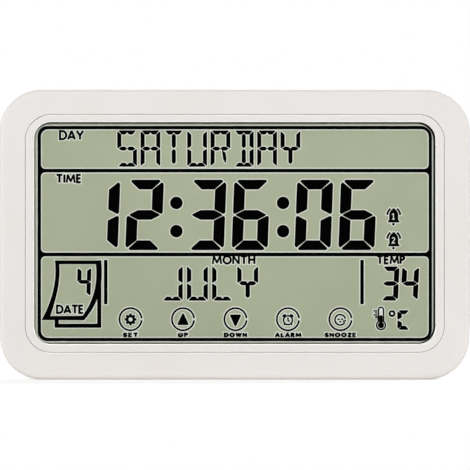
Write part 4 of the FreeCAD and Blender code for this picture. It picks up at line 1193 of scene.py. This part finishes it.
# ---- the front's trims -----------------------------------------------------------------------------
@dataclass
class Trim:
    """A closed strip carried round a rectangle with round corners on the clock's front."""

    name: str
    width: float
    height: float
    corner_r: float
    middle: Point
    section: Array  # corners of its section: outwards from the outline, and depth behind the front
    squat: float = 1.0  # its width on level runs over that on upright ones
    steps: int = 15

    def build(self, finish: Finish) -> None:
        """Makes the strip: each corner of the section, set out along the outline's normals.

        Args:
            finish: Its material, here a painted highlight or a painted shadow.
        """
        corners = rectangle(-self.width / 2, self.width / 2, -self.height / 2, self.height / 2) + self.middle
        path = rounded_outline(corners, self.corner_r, 0.0, self.steps)
        out = (rounded_outline(corners, self.corner_r, 1.0, self.steps) - path) * (1.0, self.squat)
        flat = path[:, None, :] + out[:, None, :] * self.section[None, :, :1]
        rows, columns = flat.shape[:2]
        depth = np.broadcast_to(FRONT_Y + self.section[:, 1], (rows, columns))
        faces = np.roll(tube(rows, columns), 1, axis=1)  # the corner they start at decides how they split
        shell = Shell()
        shell.add(np.stack([flat[..., 0], depth, flat[..., 1]], -1).reshape(-1, 3), faces)
        shell.make(self.name, finish.material(), "case_white", smooth=True)


@dataclass
class FrontTrims:
    """A bead on the bevel round the window and a strip on each wall of the groove farther out, whiter than the
    case and partly metallic: painted highlights; and a dark strip at the groove's bottom: painted shadow.
    """

    window: Triple = (0.1910, 0.1056, 0.0081)  # width, height and corner radius
    bevel: float = 0.0005
    bead: Point = (0.00034, 0.00012)  # half its width along the bevel, half its thickness
    bead_depth: float = 0.00028  # its middle behind the front
    bead_drop: float = 0.00016  # how far its upper side hangs over the window
    groove: Triple = (0.1995, 0.1133, 0.0124)
    groove_z: float = 0.06956
    shadow_r: float = 0.00014  # radius of the dark strip at the groove's bottom, a painted shadow
    shadow_depth: float = 0.00030
    shadow_squat: float = 0.5  # its width on level runs over that on upright ones, so the painted shadow is fainter there
    wall: tuple[float, ...] = (0.00024, 0.00010, 0.00012, 0.00002, 35.0)  # as oval takes them
    # Whiter than the case and partly metallic: a painted highlight for the bead on the window's bevel and the
    # strips on the groove's walls.
    painted_highlight: Finish = Finish("highlight_paint_white", (0.97, 0.965, 0.955), 0.01, 0.02, 0.20, 0.04, 0.0003,
                            0.000001, 0.7)
    # Dark grey strip in the groove: a painted shadow.
    shadow: Finish = Finish("groove_shadow", (0.16, 0.155, 0.15), 0.10, 0.01, 0.7, specular=0.1)

    @staticmethod
    def oval(aside: float, depth: float, half_w: float, half_t: float, slant: float) -> Array:
        """Gives a flat ellipse as a section.

        Args:
            aside: Its middle, outwards from the outline.
            depth: Its middle, behind the front.
            half_w: Half its width.
            half_t: Half its thickness.
            slant: Degrees by which its outer side is turned towards the front.

        Returns:
            Twelve corners of the section.
        """
        along, off = ring((0.0, 0.0), (half_w, half_t), 12).T
        lean = math.radians(slant)
        return np.stack([aside + along * math.cos(lean) - off * math.sin(lean),
                         depth - along * math.sin(lean) - off * math.cos(lean)], 1)

    def build(self) -> None:
        """Makes the bead, a painted highlight, and, for the groove, a dark strip at its bottom, painted shadow,
        and a bright strip on each wall, painted highlights.
        """
        x, z = window_middle()
        width, height, corner_r = self.window
        bead = self.oval(self.bevel / 2, self.bead_depth, *self.bead, 45.0)
        # The bead on the window's bevel: a painted highlight.
        Trim("window_edge_highlight_bead", width, height - self.bead_drop, corner_r, (x, z - self.bead_drop / 2),
             bead).build(self.painted_highlight)
        groove = *self.groove, (x, self.groove_z)
        # The groove's dark bottom strip: a painted shadow.
        bottom = self.oval(0.0, self.shadow_depth, self.shadow_r, self.shadow_r, 0.0)
        Trim("groove_shadow_line", *groove, bottom, self.shadow_squat).build(self.shadow)
        aside, *sizes, slant = self.wall
        # Bright strips on the groove's two walls: painted highlights.
        for side, name in ((-1, "groove_inner_wall_highlight"), (1, "groove_outer_wall_highlight")):
            Trim(name, *groove, self.oval(side * aside, *sizes, side * slant)).build(self.painted_highlight)


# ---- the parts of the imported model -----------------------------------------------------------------
@dataclass
class Parts:
    """Finishes of the modelled parts, which keep their own shapes."""

    white: Colour = from_screen(238, 234, 231)

    def finishes(self) -> dict[str, Finish | ClearSheet]:
        """Lists the finishes.

        Returns:
            The finish of each modelled part by its name.
        """
        white = MouldedPlastic("white_case_plastic", self.white, 0.010, 0.050)
        steel = Finish("bright_steel", (0.56, 0.56, 0.55), 0.08, 0.004, 0.30, 0.08, 0.0002, 0.000002, 1.0)
        nickel = Finish("nickel_plate", (0.66, 0.63, 0.58), 0.06, 0.003, 0.25, 0.08, 0.0002, 0.000002, 1.0)
        glass = ClearSheet("display_glass", 1.3, 0.02, (0.96, 0.98, 0.97))
        table = {
            "window_lens": ClearSheet("window_acrylic", 1.14, 0.012, (0.997, 0.998, 0.997)),
            "touch_film": ClearSheet("touch_film", 1.05, 0.02, (0.998, 0.998, 0.998)),
            "touch_pads": ClearSheet("touch_pads", 1.05, 0.02, (0.998, 0.998, 0.998)),
            # Near-black foam behind the window's edge; the strip of it that shows at the top and right stands
            # for the shadow there too: partly painted shadow.
            "lens_gasket": Finish("gasket_foam", (0.006, 0.006, 0.006), 0.3, 0.001, 0.85, 0.05, 0.0003, 0.00005,
                                  specular=0.2),
            "lcd_front_polariser": DisplayFace("display_face", from_screen(190, 197, 168)),
            "lcd_front_glass": glass, "lcd_rear_glass": glass,
            "lcd_reflector": Finish("reflector_foil", (0.62, 0.62, 0.58), 0.05, 0.004, 0.35, 0.06, 0.0002,
                                    0.00001, 1.0),
            "lcd_frame": Finish("frame_grey", (0.30, 0.30, 0.30), 0.03, 0.02, 0.5),
            "zebra_strip": Finish("zebra_rubber", (0.03, 0.03, 0.032), 0.5, 0.0004, 0.7,
                                  stretch=(1.0, 0.05, 0.05)),
            "main_board": CircuitBoard("board_green", (0.012, 0.075, 0.032), depth=0.00003),
            "display_chip": Finish("chip_resin", (0.012, 0.012, 0.013), 0.2, 0.002, 0.22, 0.08, 0.0008,
                                   0.00003),
            "touch_chip": Finish("chip_black", (0.02, 0.02, 0.021), 0.15, 0.001, 0.55, 0.05, 0.0001),
            "temperature_sensor": Finish("sensor_bead", (0.03, 0.07, 0.05), 0.1, 0.001, 0.3, 0.08),
            "board_capacitors": Finish("capacitor_sleeve", (0.03, 0.035, 0.06), 0.1, 0.002, 0.3),
            "flex_connector": Finish("socket_ivory", (0.72, 0.66, 0.52), 0.03, 0.003, 0.5),
            "piezo_plate": Finish("sounder_brass", (0.70, 0.52, 0.22), 0.08, 0.006, 0.28, 0.08, 0.0002,
                                  0.000003, 1.0),
            "piezo_ceramic": Finish("sounder_ceramic", (0.62, 0.61, 0.57), 0.04, 0.003, 0.45, 0.08),
            "battery_lead_red": Finish("wire_red", (0.55, 0.02, 0.015), 0.06, 0.004, 0.38, 0.06),
            "battery_lead_black": Finish("wire_black", (0.012, 0.012, 0.012), 0.2, 0.004, 0.38, 0.06),
            "buzzer_leads": Finish("wire_black_thin", (0.014, 0.013, 0.013), 0.2, 0.004, 0.38, 0.06),
            "stand_foot_pad": Finish("foot_rubber", (0.035, 0.035, 0.036), 0.15, 0.002, 0.85, 0.05, 0.0004,
                                     0.00002, specular=0.3),
        }
        for finish, names in (
            (white, ("front_case", "rear_case", "battery_door", "battery_door_latch", "stand_leg")),
            (steel, ("quartz_crystal", "frame_screws", "board_screws", "case_screws")),
            (nickel, ("battery_contact_positive", "battery_contact_negative", "battery_contact_link")),
        ):
            table.update(dict.fromkeys(names, finish))
        for name, way in (("battery_upper", 1), ("battery_lower", -1)):
            nub, flat = [end.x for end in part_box(name)][::way]
            table[name] = CellJacket(name + "_sleeve", (0.42, 0.43, 0.44), 0.02, 0.01, 0.32, nub=nub, flat=flat)
        return table

    def dress(self) -> None:
        """Puts each part's material in its object's own material slots."""
        made: dict[str, bpy.types.Material] = {}
        finishes = self.finishes()
        for name, part in sorted(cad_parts.items()):
            finish = finishes[name]
            if finish.name not in made:
                made[finish.name] = finish.material()
            for slot in part.material_slots:
                slot.link = "OBJECT"
                slot.material = made[finish.name]
            log.info("%s: %s", name, finish.name)


# ---- the studio ------------------------------------------------------------------------------------
@dataclass(frozen=True)
class Softbox:
    """A square lamp with a soft edge, aimed at the clock."""

    name: str
    place: Triple
    size: float
    share: float  # light that it adds on a surface that faces it, 1 being full white
    mirrored: bool = True  # whether glossy surfaces show it
    target: Triple = (0.0, 0.0, 0.07)

    def build(self) -> None:
        """Makes the lamp; its power is the share times pi squared times the square of its distance."""
        lamp = bpy.data.lights.new(self.name, "AREA")
        lamp.size = self.size
        lamp.energy = self.share * math.pi ** 2 * math.dist(self.place, self.target) ** 2
        thing = placed(self.name, lamp, self.place)
        thing.visible_camera, thing.visible_glossy = False, self.mirrored
        track = thing.constraints.new("TRACK_TO")
        track.target = placed(self.name + "_aim", None, self.target)
        track.track_axis, track.up_axis = "TRACK_NEGATIVE_Z", "UP_Y"


@dataclass
class Studio:
    """Floor, lamps, surroundings and camera."""

    floor_half: float = 4.0
    floor_front: float = 1.6  # how far it comes forward; the window's foot mirrors what is beyond
    floor_z: float = -0.00002
    floor_tones: Point = (0.925, 0.935)
    floor_lift: float = 0.36  # its glow under the clock, where the lamps light it most
    floor_fade: Point = (0.6, 2.0)  # distances from the clock over which the glow grows to 1
    sky: Point = (0.335, 0.370)  # soft light from straight below and straight above
    mirrored: Point = (0.02, 1.0)  # light straight from behind the camera in mirrors, and from the rest
    mirror_edge: float = -0.90  # y of a ray's way where the dark behind the camera ends
    camera_at: Triple = (0.00012, -6.014, 0.0688)
    view_w: float = 0.22376  # width of the picture at the clock's front
    lamps: tuple[Softbox, ...] = (
        Softbox("front_softbox", (-0.20, -2.6, 0.39), 0.74, 0.358, False),
        Softbox("top_softbox", (-0.10, -1.25, 1.75), 0.9, 0.104),
        Softbox("back_softbox", (0.8, 2.2, 1.4), 1.4, 0.40),
        Softbox("left_softbox", (-2.4, -0.3, 0.8), 1.2, 0.178),
        Softbox("right_softbox", (2.4, -0.1, 0.8), 1.2, 0.178),
    )

    @staticmethod
    def rays(maker: NodeMaker, *kinds: str) -> Socket:
        """Gives 1 for rays of some kinds and 0 for others.

        Args:
            maker: The material or world in the making.
            kinds: The kinds of ray.

        Returns:
            The value.
        """
        path = maker.node("LightPath", {}).outputs
        last = path[kinds[0]]
        for kind in kinds[1:]:
            last = maker.add("Math", {0: last, 1: path[kind]}, operation="MAXIMUM")
        return last

    def floor(self) -> None:
        """Makes the floor, one face.  A glow lifts it to white where no shadow falls; it grows
        with the distance from the clock, as the lamps' light fades."""
        x, y = np.meshgrid([-self.floor_half, self.floor_half], [-self.floor_front, self.floor_half])
        mesh = bpy.data.meshes.new("floor")
        mesh.from_pydata(np.stack([x.ravel(), y.ravel(), np.full(4, self.floor_z)], 1), [], [(0, 1, 3, 2)])
        maker = NodeMaker(bpy.data.materials.new("floor_paper"))
        stops = [(place, (tone,) * 3) for place, tone in zip((0.3, 0.7), self.floor_tones)]
        paper = maker.add("BsdfDiffuse", {"Color": maker.tint(maker.noise(0.5, 3.0), stops)})
        away = maker.add("VectorMath", {0: maker.place}, "Value", operation="LENGTH")
        lift = maker.between(away, self.floor_lift, 1.0, *self.floor_fade)
        seen = self.rays(maker, "Is Camera Ray", "Is Glossy Ray", "Is Transmission Ray")
        strength = maker.add("Math", {0: seen, 1: lift}, operation="MULTIPLY")
        glow = maker.add("Emission", {"Color": WHITE, "Strength": strength})
        mesh.materials.append(maker.done(maker.add("AddShader", {0: paper, 1: glow})))
        thing = placed("floor", mesh)

    def surroundings(self) -> None:
        """Makes the world: white where it is seen, unlit straight behind the camera where it is mirrored, and a
        soft light that grows with height for everything else."""
        maker = NodeMaker(bpy.data.worlds.new("studio"))
        bpy.context.scene.world = maker.owner
        way = maker.node("SeparateXYZ", {"Vector": maker.way}).outputs
        soft = maker.between(way["Z"], *self.sky, -1.0, 1.0)
        dark = maker.between(way["Y"], *self.mirrored, -1.0, self.mirror_edge)
        unseen = maker.add("Mix", {0: self.rays(maker, "Is Glossy Ray"), 2: soft, 3: dark})
        seen = self.rays(maker, "Is Camera Ray", "Is Transmission Ray")
        strength = maker.add("Mix", {0: seen, 2: unseen, 3: 1.0})
        maker.done(maker.add("Background", {"Color": WHITE, "Strength": strength}), "OutputWorld")

    def camera(self) -> None:
        """Makes the camera: level, square to the front, with a long lens that takes in view_w at the front."""
        lens = bpy.data.cameras.new("camera")
        lens.sensor_width = 36.0
        lens.lens = lens.sensor_width * (FRONT_Y - self.camera_at[1]) / self.view_w
        lens.clip_start, lens.clip_end = 0.1, 60.0
        thing = placed("camera", lens, self.camera_at)
        thing.rotation_euler = (math.pi / 2, 0.0, 0.0)
        bpy.context.scene.camera = thing

    def build(self) -> None:
        """Makes the whole studio."""
        self.camera()
        self.floor()
        self.surroundings()
        for lamp in self.lamps:
            lamp.build()
        bpy.context.scene.view_settings.view_transform = "Standard"


def main() -> None:
    """Builds the studio, dresses the parts, and makes the front's trims and what the display shows."""
    logging.basicConfig(level=logging.INFO, format="%(message)s")
    Studio().build()
    Parts().dress()
    FrontTrims().build()
    Display().build()


if __name__ == "__main__":
    main()
